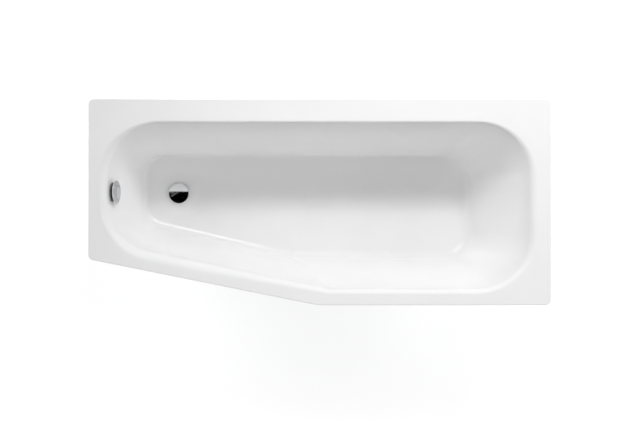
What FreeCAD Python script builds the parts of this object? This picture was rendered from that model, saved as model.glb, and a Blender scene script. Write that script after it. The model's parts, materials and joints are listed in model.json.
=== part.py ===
import FreeCAD, Part
import math
import os
import re
import Sketcher

# A space-saving steel bath with a tapered foot end, on two cross rails with four screw legs,
# with a pop-up waste and trap under the floor and a turn-knob overflow in the foot-end wall.
# Frame: X along the bath (foot end at minus X), Y across it (straight back side at plus Y), Z up,
# origin on the floor of the room under the middle of the rim. Millimetres.

# name, value, meaning
SIZES = [
    ("bath_length", "1570", "rim, foot end to head end"),
    ("bath_width", "700", "rim, back to front"),
    ("bath_height", "600", "rim top above the room floor"),
    ("foot_end_width", "544", "rim width at the narrow foot end"),
    ("taper_length", "780", "foot end to the bend in the front rim"),
    ("sheet_thickness", "3", "enamelled steel sheet"),
    ("skirt_depth", "38", "turned-down edge of the rim"),
    ("rim_edge_radius", "4", "top outer edge of the rim"),
    ("rim_corner_radius", "18", "corners of the rim in plan"),
    ("rim_bend_radius", "60", "front bend of the rim in plan"),
    ("rim_back", "79", "rim width along the back"),
    ("rim_front", "51.5", "rim width along the straight front"),
    ("rim_taper", "59", "rim width along the tapered front"),
    ("rim_foot", "58", "rim width at the foot end"),
    ("rim_head", "63", "rim width at the head end"),
    ("rim_roll_radius", "26", "roll from the rim into the walls"),
    ("bath_depth", "420", "rim top to the floor at the foot end"),
    ("run_back", "97", "how far the back wall leans in"),
    ("run_front", "99.5", "how far the front wall leans in"),
    ("run_foot", "84", "how far the foot wall leans in"),
    ("run_head", "182", "how far the head wall leans in"),
    ("floor_foot_width", "248", "floor width at the foot end"),
    ("floor_taper_length", "547", "tapered length of the floor"),
    ("mouth_foot_radius", "187", "mouth corner, foot end and back"),
    ("mouth_head_radius", "185", "mouth corners, head end"),
    ("mouth_bend_radius", "150", "mouth bend in the front"),
    ("floor_foot_radius", "75", "floor corners, foot end"),
    ("floor_head_radius", "90", "floor corners, head end"),
    ("floor_bend_radius", "60", "floor bend in the front"),
    ("floor_fillet_radius", "28", "walls to floor"),
    ("floor_fall", "10", "fall of the floor towards the waste"),
    ("drain_from_foot", "267", "waste axis from the foot end of the rim"),
    ("drain_from_back", "315", "waste axis from the back of the rim"),
    ("dish_depth", "4.5", "pressed seat round the waste"),
    ("dish_seat_radius", "38", "flat of the seat"),
    ("dish_top_radius", "80", "seat, where it meets the floor"),
    ("drain_hole_radius", "26", "hole in the sheet for the waste"),
    ("overflow_drop", "68", "overflow axis below the rim"),
    ("overflow_hole_radius", "26", "hole in the sheet for the overflow"),
    ("overrun", "20", "length by which cutting shapes pass what they cut"),
    ("thread_gap", "0.1", "screw threads that are fixed"),
    ("running_gap", "0.05", "shafts and screws that turn or slide"),
    ("clear_gap", "0.4", "moving pieces that pass each other"),
    ("head_rail_inset", "148", "head rail from the head end of the floor"),
    ("drain_rail_gap", "118", "drain rail from the waste axis"),
    ("rail_width", "40", "cross rail"),
    ("rail_height", "25", "cross rail"),
    ("rail_thickness", "2.5", "cross rail sheet"),
    ("rail_margin", "18", "rail end past the leg axis"),
    ("leg_overhang", "27", "leg axis outside the edge of the floor"),
    ("pad_thickness", "6", "rubber strip on a rail, under its middle"),
    ("pad_margin", "30", "strip end inside the edge of the floor"),
    ("stud_spacing", "130", "two studs on a rail"),
    ("stud_radius", "4", "welded stud"),
    ("stud_tail", "4", "stud past its nut"),
    ("washer_radius", "9", "rail washer"),
    ("washer_thickness", "1.6", "rail washer"),
    ("stud_nut_radius", "7.5", "rail nut over its corners"),
    ("stud_nut_height", "6.5", "rail nut"),
    ("spindle_radius", "6", "leg spindle"),
    ("spindle_over", "35", "leg spindle past the lock nut on the head rail"),
    ("leg_nut_radius", "10.4", "leg nuts over their corners"),
    ("leg_nut_height", "10", "adjusting nut under the rail"),
    ("lock_nut_height", "7", "lock nut on the rail"),
    ("leg_hole_gap", "0.5", "spindle to the hole in the rail"),
    ("sole_radius", "24", "rubber sole"),
    ("sole_thickness", "4", "rubber sole"),
    ("foot_radius", "26", "plastic foot"),
    ("foot_plate", "6", "plastic foot at its edge"),
    ("foot_socket_floor", "4", "plastic under the end of the spindle"),
    ("foot_cone", "5", "plastic foot, rise from its edge to its hub"),
    ("foot_hub_radius", "12", "plastic foot round the spindle"),
    ("foot_hub_height", "22", "plastic foot"),
    ("floor_mat_start_share", "0.138", "way from earth tag to head rail where the floor mat starts"),
    ("floor_mat_share", "0.623", "way from earth tag to head rail that the floor mat covers"),
    ("floor_mat_width", "230", "sound mat under the floor"),
    ("wall_mat_height", "190", "sound mats on the walls"),
    ("back_mat_foot_gap", "313", "sound mat on the back wall, from the foot end of the floor"),
    ("back_mat_head_gap", "158", "sound mat on the back wall, from the head end of the floor"),
    ("front_mat_start_share", "0.057", "way from mouth bend to floor end where the front mat starts"),
    ("front_mat_share", "0.758", "way from mouth bend to floor end that the front mat covers"),
    ("mat_drop", "110", "rim top to the top of the wall mats"),
    ("mat_thickness", "3", "sound mats"),
    ("tag_length", "34", "earth tag"),
    ("tag_width", "20", "earth tag"),
    ("tag_height", "24", "earth tag"),
    ("tag_thickness", "2.5", "earth tag"),
    ("tag_hole_radius", "3.3", "earth tag"),
    ("tag_rail_gap", "110", "earth tag from the drain rail"),
    ("flange_radius", "35", "waste flange"),
    ("flange_thickness", "2.5", "waste flange"),
    ("flange_edge", "1.2", "waste flange at its rim"),
    ("flange_seal_thickness", "1.5", "seal under the waste flange"),
    ("flange_seal_margin", "1", "seal inside the edge of the flange"),
    ("barrel_radius", "22.4", "threaded barrel of the flange"),
    ("barrel_wall", "2.9", "threaded barrel of the flange"),
    ("barrel_length", "27", "threaded barrel below the flange"),
    ("spider_width", "3.5", "cross in the barrel"),
    ("spider_height", "5", "cross in the barrel"),
    ("spider_drop", "12", "top of the cross below the top of the flange"),
    ("guide_radius", "6", "stem guide in the cross"),
    ("plug_radius", "36.5", "plug cover"),
    ("plug_edge", "2.4", "plug cover at its rim"),
    ("plug_bevel", "0.7", "plug cover, edges of its rim"),
    ("plug_crown", "1.6", "rise of the plug cover in its middle"),
    ("plug_boss_radius", "14", "boss under the plug cover"),
    ("plug_boss_height", "7", "boss under the plug cover"),
    ("plug_seal_height", "5", "lip seal on the boss"),
    ("stem_radius", "3", "plug stem"),
    ("stem_tip_radius", "1", "end of the plug stem"),
    ("stem_tip_length", "3", "end of the plug stem"),
    ("body_seal_thickness", "3", "seal between sheet and waste body"),
    ("body_flange_radius", "38", "waste body"),
    ("body_flange_thickness", "5", "waste body"),
    ("body_wall", "3", "waste body"),
    ("collar_depth", "18", "threaded collar in the waste body"),
    ("chamber_radius", "30", "waste body, inside"),
    ("chamber_height", "36", "waste body, inside"),
    ("trap_radius", "45", "lower half of the waste body"),
    ("trap_height", "64", "lower half of the waste body"),
    ("dip_radius", "19.5", "dip tube"),
    ("dip_wall", "2.5", "dip tube"),
    ("dip_length", "86", "dip tube below the chamber floor"),
    ("spigot_radius", "20", "outlet spigot"),
    ("spigot_wall", "2", "outlet spigot"),
    ("spigot_length", "50", "outlet spigot past its stop collar"),
    ("spigot_shoulder", "3", "stop collar at the foot of the spigot, its height and length"),
    ("spigot_drop", "26", "outlet axis below the chamber"),
    ("cup_flange_thickness", "3", "trap cup"),
    ("cup_wall", "2.5", "trap cup"),
    ("cup_depth", "33", "trap cup below its seal, outside"),
    ("trap_seal_thickness", "2", "seal on the trap cup"),
    ("ring_wall", "6", "ring nut"),
    ("ring_lip", "3", "ring nut lip under the cup"),
    ("ring_grip", "14", "ring nut on the trap wall"),
    ("lever_arm", "15", "lift lever, pin to finger tip"),
    ("lever_start", "20", "degrees that the finger hangs down with the plug shut"),
    ("lever_thickness", "5", "finger"),
    ("lever_width", "8", "finger and hub along the pin"),
    ("lever_hub_radius", "6", "lift lever"),
    ("lever_tail", "13", "cable arm of the lift lever"),
    ("lever_drop", "20", "pin below the top of the chamber"),
    ("pin_radius", "2.5", "lever pin"),
    ("pin_length", "56", "lever pin"),
    ("gasket_thickness", "4", "overflow gasket behind the wall"),
    ("gasket_radius", "36", "overflow gasket"),
    ("clamp_radius", "33", "overflow clamp ring"),
    ("clamp_margin", "2.3", "overflow clamp to the start of the front foot corner"),
    ("clamp_ring", "11", "overflow clamp, width of its ring"),
    ("clamp_thickness", "3", "overflow clamp"),
    ("clamp_bar_width", "12", "overflow clamp"),
    ("housing_flange_thickness", "4", "overflow housing"),
    ("housing_radius", "31", "overflow housing"),
    ("housing_wall", "3", "overflow housing"),
    ("housing_depth", "41", "overflow housing behind its gasket"),
    ("screw_offset", "16", "overflow screws from the axis"),
    ("screw_radius", "2", "overflow screws"),
    ("screw_head_radius", "4", "overflow screws"),
    ("screw_head_height", "2.4", "overflow screws"),
    ("screw_length", "26", "overflow screws"),
    ("screw_boss_radius", "4.5", "bosses in the housing"),
    ("bearing_radius", "8", "shaft bearing in the housing"),
    ("bearing_length", "12", "shaft bearing in the housing"),
    ("shaft_radius", "5", "knob shaft"),
    ("drum_radius", "10.5", "cable drum"),
    ("drum_width", "7", "cable drum"),
    ("drum_groove", "2", "cable groove in the drum"),
    ("knob_radius", "40", "chrome turn knob"),
    ("knob_standoff", "11", "knob off the wall, for the water"),
    ("knob_edge", "5.5", "knob at its rim"),
    ("knob_bevel", "1.2", "knob, edges of its rim"),
    ("knob_crown", "1.5", "rise of the knob in its middle"),
    ("knob_hub_radius", "9", "knob hub"),
    ("knob_web", "3", "knob front over the end of the shaft"),
    ("mark_radius", "2", "raised mark on the knob"),
    ("mark_height", "0.8", "raised mark on the knob"),
    ("mark_inset", "9", "raised mark from the knob's rim"),
    ("pipe_radius", "16", "overflow pipe"),
    ("pipe_wall", "2", "overflow pipe"),
    ("pipe_bend", "55", "overflow pipe, bend on its axis"),
    ("pipe_insertion", "20", "pipe end in a socket"),
    ("socket_wall", "4", "sockets of the overflow pipe"),
    ("socket_length", "30", "sockets past the housing and the waste body"),
    ("socket_step", "4", "stop in a socket"),
    ("pipe_seal_thickness", "4", "seal at the mouth of a socket"),
    ("union_wall", "3", "union nut"),
    ("union_grip", "14", "union nut on its socket"),
    ("union_lip", "4", "union nut over its seal"),
    ("cable_radius", "3", "sheath of the pull cable"),
    ("cable_offset", "27.5", "cable axis from the pipe axis, sideways"),
    ("wire_radius", "1.2", "hole for the wire of the cable"),
    ("gland_wall", "2", "cable glands"),
    ("gland_length", "38", "cable glands from the axis of what carries them"),
    ("gland_insertion", "14", "cable end in a gland"),
    ("ferrule_length", "8", "collar of the cable at a gland"),
    ("ferrule_wall", "1.5", "collar of the cable at a gland"),
    ("clip_width", "10", "cable clips on the pipe"),
    ("clip_wall", "2", "cable clips on the pipe"),
    ("clip_spacing", "95", "cable clips on the pipe"),
]

doc = FreeCAD.newDocument("Bathtub")
sheet = doc.addObject("Spreadsheet::Sheet", "Sizes")
OWNER = {}
for row, (alias, value, meaning) in enumerate(SIZES, 1):
    sheet.set(f"A{row}", meaning)
    sheet.set(f"B{row}", value)
    sheet.setAlias(f"B{row}", alias)
    OWNER[alias] = f"Sizes.{alias}"
doc.recompute()

# places and sizes that follow from the driving ones
PLACES = [
    ("foot_x", "-bath_length / 2"),
    ("head_x", "bath_length / 2"),
    ("back_y", "bath_width / 2"),
    ("front_y", "-bath_width / 2"),
    ("rim_foot_x", "foot_x"),
    ("rim_head_x", "head_x"),
    ("rim_back_y", "back_y"),
    ("rim_front_y", "front_y"),
    ("rim_taper_y", "back_y - foot_end_width"),
    ("rim_bend_x", "foot_x + taper_length"),
    ("rim_slope", "(rim_taper_y - front_y) / taper_length"),
    ("mouth_foot_x", "foot_x + rim_foot"),
    ("mouth_head_x", "head_x - rim_head"),
    ("mouth_back_y", "back_y - rim_back"),
    ("mouth_front_y", "front_y + rim_front"),
    ("taper_lift", "rim_taper * sqrt(1 + rim_slope ^ 2)"),
    ("mouth_taper_y", "rim_taper_y + taper_lift - rim_slope * rim_foot"),
    ("mouth_bend_x", "foot_x + (rim_taper_y + taper_lift - mouth_front_y) / rim_slope"),
    ("mouth_slope", "rim_slope"),
    ("floor_foot_x", "mouth_foot_x + run_foot"),
    ("floor_head_x", "mouth_head_x - run_head"),
    ("floor_back_y", "mouth_back_y - run_back"),
    ("floor_front_y", "mouth_front_y + run_front"),
    ("floor_taper_y", "floor_back_y - floor_foot_width"),
    ("floor_bend_x", "floor_foot_x + floor_taper_length"),
    ("deep_share", "overrun / bath_depth"),
    ("deep_foot_x", "floor_foot_x + (floor_foot_x - mouth_foot_x) * deep_share"),
    ("deep_head_x", "floor_head_x + (floor_head_x - mouth_head_x) * deep_share"),
    ("deep_back_y", "floor_back_y + (floor_back_y - mouth_back_y) * deep_share"),
    ("deep_front_y", "floor_front_y + (floor_front_y - mouth_front_y) * deep_share"),
    ("deep_taper_y", "floor_taper_y + (floor_taper_y - mouth_taper_y) * deep_share"),
    ("deep_bend_x", "floor_bend_x + (floor_bend_x - mouth_bend_x) * deep_share"),
    ("deep_slope", "(deep_taper_y - deep_front_y) / (deep_bend_x - deep_foot_x)"),
    ("floor_slope", "(floor_taper_y - floor_front_y) / (floor_bend_x - floor_foot_x)"),
    ("rim_z", "bath_height"),
    ("floor_z", "bath_height - bath_depth"),
    ("fall_slope", "floor_fall / (floor_head_x - floor_foot_x)"),
    ("drain_x", "foot_x + drain_from_foot"),
    ("drain_y", "back_y - drain_from_back"),
    ("drain_floor_z", "floor_z + (drain_x - floor_foot_x) * fall_slope"),
    ("seat_z", "drain_floor_z - dish_depth"),
    ("seat_under_z", "seat_z - sheet_thickness"),
    ("flange_base_z", "seat_z + flange_seal_thickness"),
    ("flange_top_z", "flange_base_z + flange_thickness"),
    ("plug_base_z", "flange_top_z + clear_gap"),
    ("body_top_z", "seat_under_z - body_seal_thickness"),
    ("chamber_top_z", "body_top_z - collar_depth"),
    ("chamber_floor_z", "chamber_top_z - chamber_height"),
    ("inlet_z", "chamber_floor_z + chamber_height / 2"),
    ("spigot_z", "chamber_floor_z - spigot_drop"),
    ("trap_end_z", "chamber_floor_z - trap_height"),
    ("lever_z", "chamber_top_z - lever_drop"),
    ("lever_x", "drain_x + lever_arm"),
    ("lever_sag", "(lever_arm - stem_tip_radius) * tan(lever_start * 1 deg)"),
    ("stem_end_z", "lever_z - lever_sag + lever_thickness / 2 / cos(lever_start * 1 deg) + clear_gap"),
    ("knob_front", "knob_standoff + knob_edge + knob_crown"),
    ("trap_inside", "trap_radius - body_wall"),
    ("cup_top_z", "trap_end_z - trap_seal_thickness"),
    ("overflow_z", "rim_z - overflow_drop"),
    ("overflow_x", "mouth_foot_x + run_foot * overflow_drop / bath_depth"),
    ("overflow_y", "drain_y"),
    ("mouth_flat_end_y", "overflow_y - clamp_radius - clamp_margin"),
    ("mouth_front_foot_radius",
     "(mouth_flat_end_y - mouth_taper_y) * (sqrt(1 + rim_slope ^ 2) + rim_slope)"),
    ("wall_length", "sqrt(bath_depth ^ 2 + run_foot ^ 2)"),
    ("tilt_cos", "bath_depth / wall_length"),
    ("tilt_sin", "run_foot / wall_length"),
    ("foot_wall_thickness", "sheet_thickness * tilt_cos"),
    ("housing_top", "-foot_wall_thickness - gasket_thickness"),
    ("housing_back", "housing_top - housing_depth"),
    ("outlet_axis", "(housing_top + housing_back) / 2"),
    ("socket_radius", "pipe_radius + running_gap + socket_wall"),
    ("outlet_x", "overflow_x + outlet_axis * tilt_cos"),
    ("outlet_z", "overflow_z + outlet_axis * tilt_sin"),
    ("housing_reach", "housing_radius + socket_length"),
    ("inlet_reach", "chamber_radius + body_wall + socket_length"),
    ("seal_reach", "pipe_seal_thickness + union_lip"),
    ("head_rail_x", "floor_head_x - head_rail_inset"),
    ("drain_rail_x", "drain_x + drain_rail_gap"),
    ("head_under_z", "floor_z - sheet_thickness + (head_rail_x - floor_foot_x) * fall_slope"),
    ("drain_under_z", "floor_z - sheet_thickness + (drain_rail_x - floor_foot_x) * fall_slope"),
    ("head_rail_top_z", "head_under_z - pad_thickness"),
    ("drain_rail_top_z", "drain_under_z - pad_thickness"),
    ("head_back_leg_y", "floor_back_y + leg_overhang"),
    ("drain_back_leg_y", "floor_back_y + leg_overhang"),
    ("head_front_leg_y", "floor_front_y - leg_overhang"),
    ("drain_front_leg_y", "floor_taper_y - floor_slope * (drain_rail_x - floor_foot_x) - leg_overhang"),
    ("head_rail_y", "(head_back_leg_y + head_front_leg_y) / 2"),
    ("drain_rail_y", "(drain_back_leg_y + drain_front_leg_y) / 2"),
    ("spindle_base_z", "sole_thickness + foot_socket_floor"),
    ("spindle_length", "head_rail_top_z + lock_nut_height + spindle_over - spindle_base_z"),
    ("tag_x", "drain_rail_x + tag_rail_gap"),
    ("floor_mat_x", "tag_x + (head_rail_x - tag_x) * floor_mat_start_share"),
    ("floor_mat_length", "(head_rail_x - tag_x) * floor_mat_share"),
    ("back_mat_x", "floor_foot_x + back_mat_foot_gap"),
    ("back_mat_length", "floor_head_x - back_mat_head_gap - back_mat_x"),
    ("front_mat_x", "mouth_bend_x + (floor_head_x - mouth_bend_x) * front_mat_start_share"),
    ("front_mat_length", "(floor_head_x - mouth_bend_x) * front_mat_share"),
    ("tag_z", "floor_z - sheet_thickness + (tag_x - tag_length / 2 - floor_foot_x) * fall_slope"),
]
ANGLES = [
    ("foot_tilt", "atan(run_foot / bath_depth)"),
    ("back_tilt", "atan(run_back / bath_depth)"),
    ("front_tilt", "atan(run_front / bath_depth)"),
    ("fall_tilt", "atan(fall_slope)"),
]


def expr(text):
    """The text with each named size or place written as its cell or property."""
    return re.sub(r"[a-z][a-z_0-9]*", lambda found: OWNER.get(found.group(0), found.group(0)), text)


places = doc.addObject("App::VarSet", "Places")
for names, kind in ((PLACES, "App::PropertyFloat"), (ANGLES, "App::PropertyAngle")):
    for name, text in names:
        places.addProperty(kind, name)
        places.setExpression(name, expr(text))
        OWNER[name] = f"Places.{name}"
doc.recompute()


def size(name):
    """The number that a name stands for now."""
    return float(sheet.get(name)) if OWNER[name].startswith("Sizes") else float(getattr(places, name))


def bind(obj, **texts):
    for prop, text in texts.items():
        obj.setExpression(prop, expr(text))
    return obj


def put(obj, x="0", y="0", z="0", axis="0; 0; 1", turn="0"):
    """Bind a placement: a turn about an axis, then a shift."""
    text = f"placement(vector({expr(x)}; {expr(y)}; {expr(z)}); rotation(vector({axis}); {expr(turn)}))"
    obj.setExpression("Placement", text)
    return obj


def box(name, length, width, height, **at):
    return put(bind(doc.addObject("Part::Box", name), Length=length, Width=width, Height=height), **at)


def rod(name, radius, height, **at):
    return put(bind(doc.addObject("Part::Cylinder", name), Radius=radius, Height=height), **at)


def hexagon(name, radius, height, **at):
    prism = doc.addObject("Part::Prism", name)
    prism.Polygon = 6
    return put(bind(prism, Circumradius=radius, Height=height), **at)


def cut(name, base, *tools):
    result = doc.addObject("Part::Cut", name)
    result.Base = base
    result.Tool = tools[0] if len(tools) == 1 else join(name + "_tools", *tools)
    return result


def join(name, *shapes):
    result = doc.addObject("Part::MultiFuse", name)
    result.Shapes = list(shapes)
    return result


def group(name, *shapes):
    result = doc.addObject("Part::Compound", name)
    result.Links = list(shapes)
    return result


def label(obj, name, **at):
    """Mark an object as a finished piece of the bath."""
    obj.Label = name
    PIECES.append(obj)
    return put(obj, **at) if at else obj


PIECES = []


def new_body(name):
    return doc.addObject("PartDesign::Body", name)


def new_sketch(body, name, plane, offset="0"):
    sketch = body.newObject("Sketcher::SketchObject", name)
    support = [item for item in body.Origin.OriginFeatures if item.Role == plane][0]
    sketch.AttachmentSupport = [(support, "")]
    sketch.MapMode = "FlatFace"
    sketch.setExpression("AttachmentOffset.Base.z", expr(offset))
    return sketch


def pin_point(sketch, line, end, x, y):
    """Hold one end of a line at named distances from the sketch origin."""
    for kind, text in (("DistanceX", x), ("DistanceY", y)):
        at = sketch.getPoint(line, end)
        now = at.x if kind == "DistanceX" else at.y
        index = sketch.addConstraint(Sketcher.Constraint(kind, -1, 1, line, end, now))
        sketch.setExpression(f"Constraints[{index}]", expr(text))


def polygon(body, name, plane, points, offset="0"):
    """A closed outline whose corners are held at named places."""
    sketch = new_sketch(body, name, plane, offset)
    count = len(points)
    turns = [2 * math.pi * step / count for step in range(count)]
    guess = [FreeCAD.Vector(math.cos(turn), math.sin(turn), 0) for turn in turns]
    for step in range(count):
        sketch.addGeometry(Part.LineSegment(guess[step], guess[(step + 1) % count]), False)
    for step in range(count):
        sketch.addConstraint(Sketcher.Constraint("Coincident", step, 2, (step + 1) % count, 1))
    for step, (x, y) in enumerate(points):
        pin_point(sketch, step, 1, x, y)
    return sketch


def turned(name, points, **at):
    """A body turned about Z from an outline of radius and height."""
    body = new_body(name)
    sketch = polygon(body, name + "_section", "XZ_Plane", points)
    turn = body.newObject("PartDesign::Revolution", name + "_turn")
    turn.Profile = sketch
    turn.ReferenceAxis = (sketch, ["V_Axis"])
    turn.Angle = 360
    return put(body, **at) if at else body


def ring(outer, inner, bottom, top):
    """The section of a plain ring, for turned()."""
    return [(inner, bottom), (outer, bottom), (outer, top), (inner, top)]


def outline(body, name, level, key, radii, grow="0", grow_now=0.0):
    """The five-sided plan of the bath at one level, with round corners.

    key names the plan (rim, mouth or deep); grow moves every side outwards.
    """
    slope = size(f"{key}_slope")
    slant = math.hypot(1, slope)
    foot = size(f"{key}_foot_x") - grow_now
    head = size(f"{key}_head_x") + grow_now
    back = size(f"{key}_back_y") + grow_now
    front = size(f"{key}_front_y") - grow_now
    taper = size(f"{key}_taper_y") - grow_now * (slant - slope)
    bend = size(f"{key}_bend_x") - grow_now * (slant - 1) / slope
    corners = [(foot, back), (foot, taper), (bend, front), (head, front), (head, back)]
    corners = [FreeCAD.Vector(x, y, 0) for x, y in corners]
    rounds = [size(radius) + grow_now for radius in radii]
    count = len(corners)
    starts, ends, centres = [], [], []
    for step, corner in enumerate(corners):
        before = (corners[step - 1] - corner).normalize()
        after = (corners[(step + 1) % count] - corner).normalize()
        half = before.getAngle(after) / 2
        tangent = rounds[step] / math.tan(half)
        starts.append(corner + before * tangent)
        ends.append(corner + after * tangent)
        middle = (before + after).normalize()
        centres.append(corner + middle * (rounds[step] / math.sin(half)))
    sketch = new_sketch(body, name, "XY_Plane", level)
    for step in range(count):
        sketch.addGeometry(Part.LineSegment(ends[step], starts[(step + 1) % count]), False)
    for step in range(count):
        spoke = (corners[step] - centres[step]).normalize() * rounds[step]
        middle = centres[step] + spoke
        sketch.addGeometry(Part.Arc(starts[step], middle, ends[step]), False)
    # two spare points hold the sharp corners of the tapered side
    sketch.addGeometry(Part.Point(corners[1]), True)
    sketch.addGeometry(Part.Point(corners[2]), True)
    spare_taper = 2 * count
    spare_bend = 2 * count + 1
    rules = []
    for step in range(count):
        arc = sketch.Geometry[count + step]
        arc_first = 1 if arc.StartPoint.distanceToPoint(starts[step]) < arc.Radius * SEEK_SHARE else 2
        rules.append(Sketcher.Constraint("Tangent", (step - 1) % count, 2, count + step, arc_first))
        rules.append(Sketcher.Constraint("Tangent", count + step, 3 - arc_first, step, 1))
    rules.append(Sketcher.Constraint("Vertical", 0))
    rules.append(Sketcher.Constraint("Horizontal", 2))
    rules.append(Sketcher.Constraint("Vertical", 3))
    rules.append(Sketcher.Constraint("Horizontal", 4))
    for spare, sides in ((spare_taper, (0, 1)), (spare_bend, (1, 2))):
        for side in sides:
            rules.append(Sketcher.Constraint("PointOnObject", spare, 1, side))
    sketch.addConstraint(rules)
    steep = f"sqrt(1 + {key}_slope ^ 2)"
    held = [
        ("DistanceX", 0, 1, f"{key}_foot_x - {grow}", foot),
        ("DistanceY", 2, 1, f"{key}_front_y - {grow}", front),
        ("DistanceX", 3, 1, f"{key}_head_x + {grow}", head),
        ("DistanceY", 4, 1, f"{key}_back_y + {grow}", back),
        ("DistanceY", spare_taper, 1, f"{key}_taper_y - {grow} * ({steep} - {key}_slope)", taper),
        ("DistanceX", spare_bend, 1, f"{key}_bend_x - {grow} * ({steep} - 1) / {key}_slope", bend),
    ]
    for kind, item, end, text, now in held:
        index = sketch.addConstraint(Sketcher.Constraint(kind, -1, 1, item, end, now))
        sketch.setExpression(f"Constraints[{index}]", expr(text))
    for step, radius in enumerate(radii):
        index = sketch.addConstraint(Sketcher.Constraint("Radius", count + step, rounds[step]))
        sketch.setExpression(f"Constraints[{index}]", expr(f"{radius} + {grow}"))
    return sketch


SEEK_SHARE = 0.001
RIM_RADII = ["rim_corner_radius", "rim_corner_radius", "rim_bend_radius"] + ["rim_corner_radius"] * 2
MOUTH_RADII = ["mouth_foot_radius", "mouth_front_foot_radius", "mouth_bend_radius"]
MOUTH_RADII += ["mouth_head_radius"] * 2
DEEP_RADII = ["floor_foot_radius", "floor_foot_radius", "floor_bend_radius"] + ["floor_head_radius"] * 2


def pad(body, name, sketch, length):
    feature = body.newObject("PartDesign::Pad", name)
    feature.Profile = sketch
    return bind(feature, Length=length)


def leaning(face):
    """Whether a face is neither upright nor nearly level."""
    u_low, u_high, v_low, v_high = face.ParameterRange
    lift = abs(face.normalAt((u_low + u_high) / 2, (v_low + v_high) / 2).z)
    return LEAN_SHARES[0] < lift < LEAN_SHARES[1]


LEAN_SHARES = (0.05, 0.9)


def wall_edges(shape, height_of):
    """Names of the edges between the leaning walls and the plane whose height is height_of(x)."""
    near = size("sheet_thickness") * SEEK_SHARE
    names = []
    for number, edge in enumerate(shape.Edges, 1):
        on_plane = all(abs(v.Point.z - height_of(v.Point.x)) < near for v in edge.Vertexes)
        if on_plane and any(leaning(face) for face in shape.ancestorsOfType(edge, Part.Face)):
            names.append(f"Edge{number}")
    return names


def round_edges(body, name, base, edges, radius):
    feature = body.newObject("PartDesign::Fillet", name)
    feature.Base = (base, edges)
    return bind(feature, Radius=radius)


def basin(name, grow, slab_level, slab_plan, roll, floor_roll):
    """The hollow of the bath as a solid, with every surface moved outwards by grow.

    Walls are ruled between the mouth and a deeper plan, and a sloping plane cuts the floor.
    """
    grow_now = 0.0 if grow == "0" else size(grow)
    body = new_body(name)
    mouth = outline(body, name + "_mouth", "rim_z", "mouth", MOUTH_RADII, grow, grow_now)
    deep = outline(body, name + "_deep", "floor_z - overrun", "deep", DEEP_RADII, grow, grow_now)
    walls = body.newObject("PartDesign::AdditiveLoft", name + "_walls")
    walls.Profile = mouth
    walls.Sections = [deep]
    walls.Ruled = True
    doc.recompute()
    slab_sketch = slab_plan(body, name + "_slab_plan", slab_level)
    pad(body, name + "_slab", slab_sketch, "overrun" if grow == "0" else f"{grow} / 2")
    under = [
        ("mouth_foot_x", f"floor_z - {grow} + (mouth_foot_x - floor_foot_x) * fall_slope"),
        ("mouth_foot_x", "floor_z - 2 * overrun"),
        ("mouth_head_x", "floor_z - 2 * overrun"),
        ("mouth_head_x", f"floor_z - {grow} + (mouth_head_x - floor_foot_x) * fall_slope"),
    ]
    below = polygon(body, name + "_below", "XZ_Plane", under)
    floor = body.newObject("PartDesign::Pocket", name + "_floor")
    floor.Profile = below
    floor.Type = "ThroughAll"
    floor.Midplane = True
    doc.recompute()
    dish = body.newObject("PartDesign::AdditiveCone", name + "_dish")
    spread = "(dish_top_radius - dish_seat_radius) / dish_depth"
    dish_over = "sheet_thickness / 3"
    bind(dish, Radius1=f"dish_seat_radius + {grow}", Height=f"dish_depth + {dish_over}",
         Radius2=f"dish_seat_radius + {grow} + {spread} * (dish_depth + {dish_over})")
    put(dish, x="drain_x", y="drain_y", z=f"seat_z - {grow}")
    doc.recompute()
    level_now = size("rim_z") - grow_now
    edges = wall_edges(dish.Shape, lambda x: level_now)
    rolled = round_edges(body, name + "_roll", dish, edges, roll)
    doc.recompute()
    low_now = size("floor_z") - grow_now
    fall_now = size("fall_slope")
    start_now = size("floor_foot_x")
    edges = wall_edges(rolled.Shape, lambda x: low_now + (x - start_now) * fall_now)
    round_edges(body, name + "_floor_roll", rolled, edges, floor_roll)
    doc.recompute()
    return body


def slab_over(body, name, level):
    """A level plate that passes the rim on all sides."""
    reach_x = "(bath_length / 2 + overrun)"
    reach_y = "(bath_width / 2 + overrun)"
    corners = [(f"-{reach_x}", f"-{reach_y}"), (reach_x, f"-{reach_y}"), (reach_x, reach_y),
               (f"-{reach_x}", reach_y)]
    return polygon(body, name, "XY_Plane", corners, level)


def slab_in_rim(body, name, level):
    """A plate that stays inside the rounded edge of the rim."""
    inset_now = size("rim_edge_radius") + size("sheet_thickness")
    return outline(body, name, level, "rim", RIM_RADII, "(-rim_edge_radius - sheet_thickness)", -inset_now)


def rim_solid(name, level, height, grow, grow_now, radius):
    """The plan of the rim as a block with a rounded top edge."""
    body = new_body(name)
    plan = outline(body, name + "_plan", level, "rim", RIM_RADII, grow, grow_now)
    block = pad(body, name + "_pad", plan, height)
    doc.recompute()
    top = block.Shape.BoundBox.ZMax
    near = size("sheet_thickness") * SEEK_SHARE
    edges = [f"Edge{number}" for number, edge in enumerate(block.Shape.Edges, 1)
             if all(abs(v.Point.z - top) < near for v in edge.Vertexes)]
    round_edges(body, name + "_edge", block, edges, radius)
    return body


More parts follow.
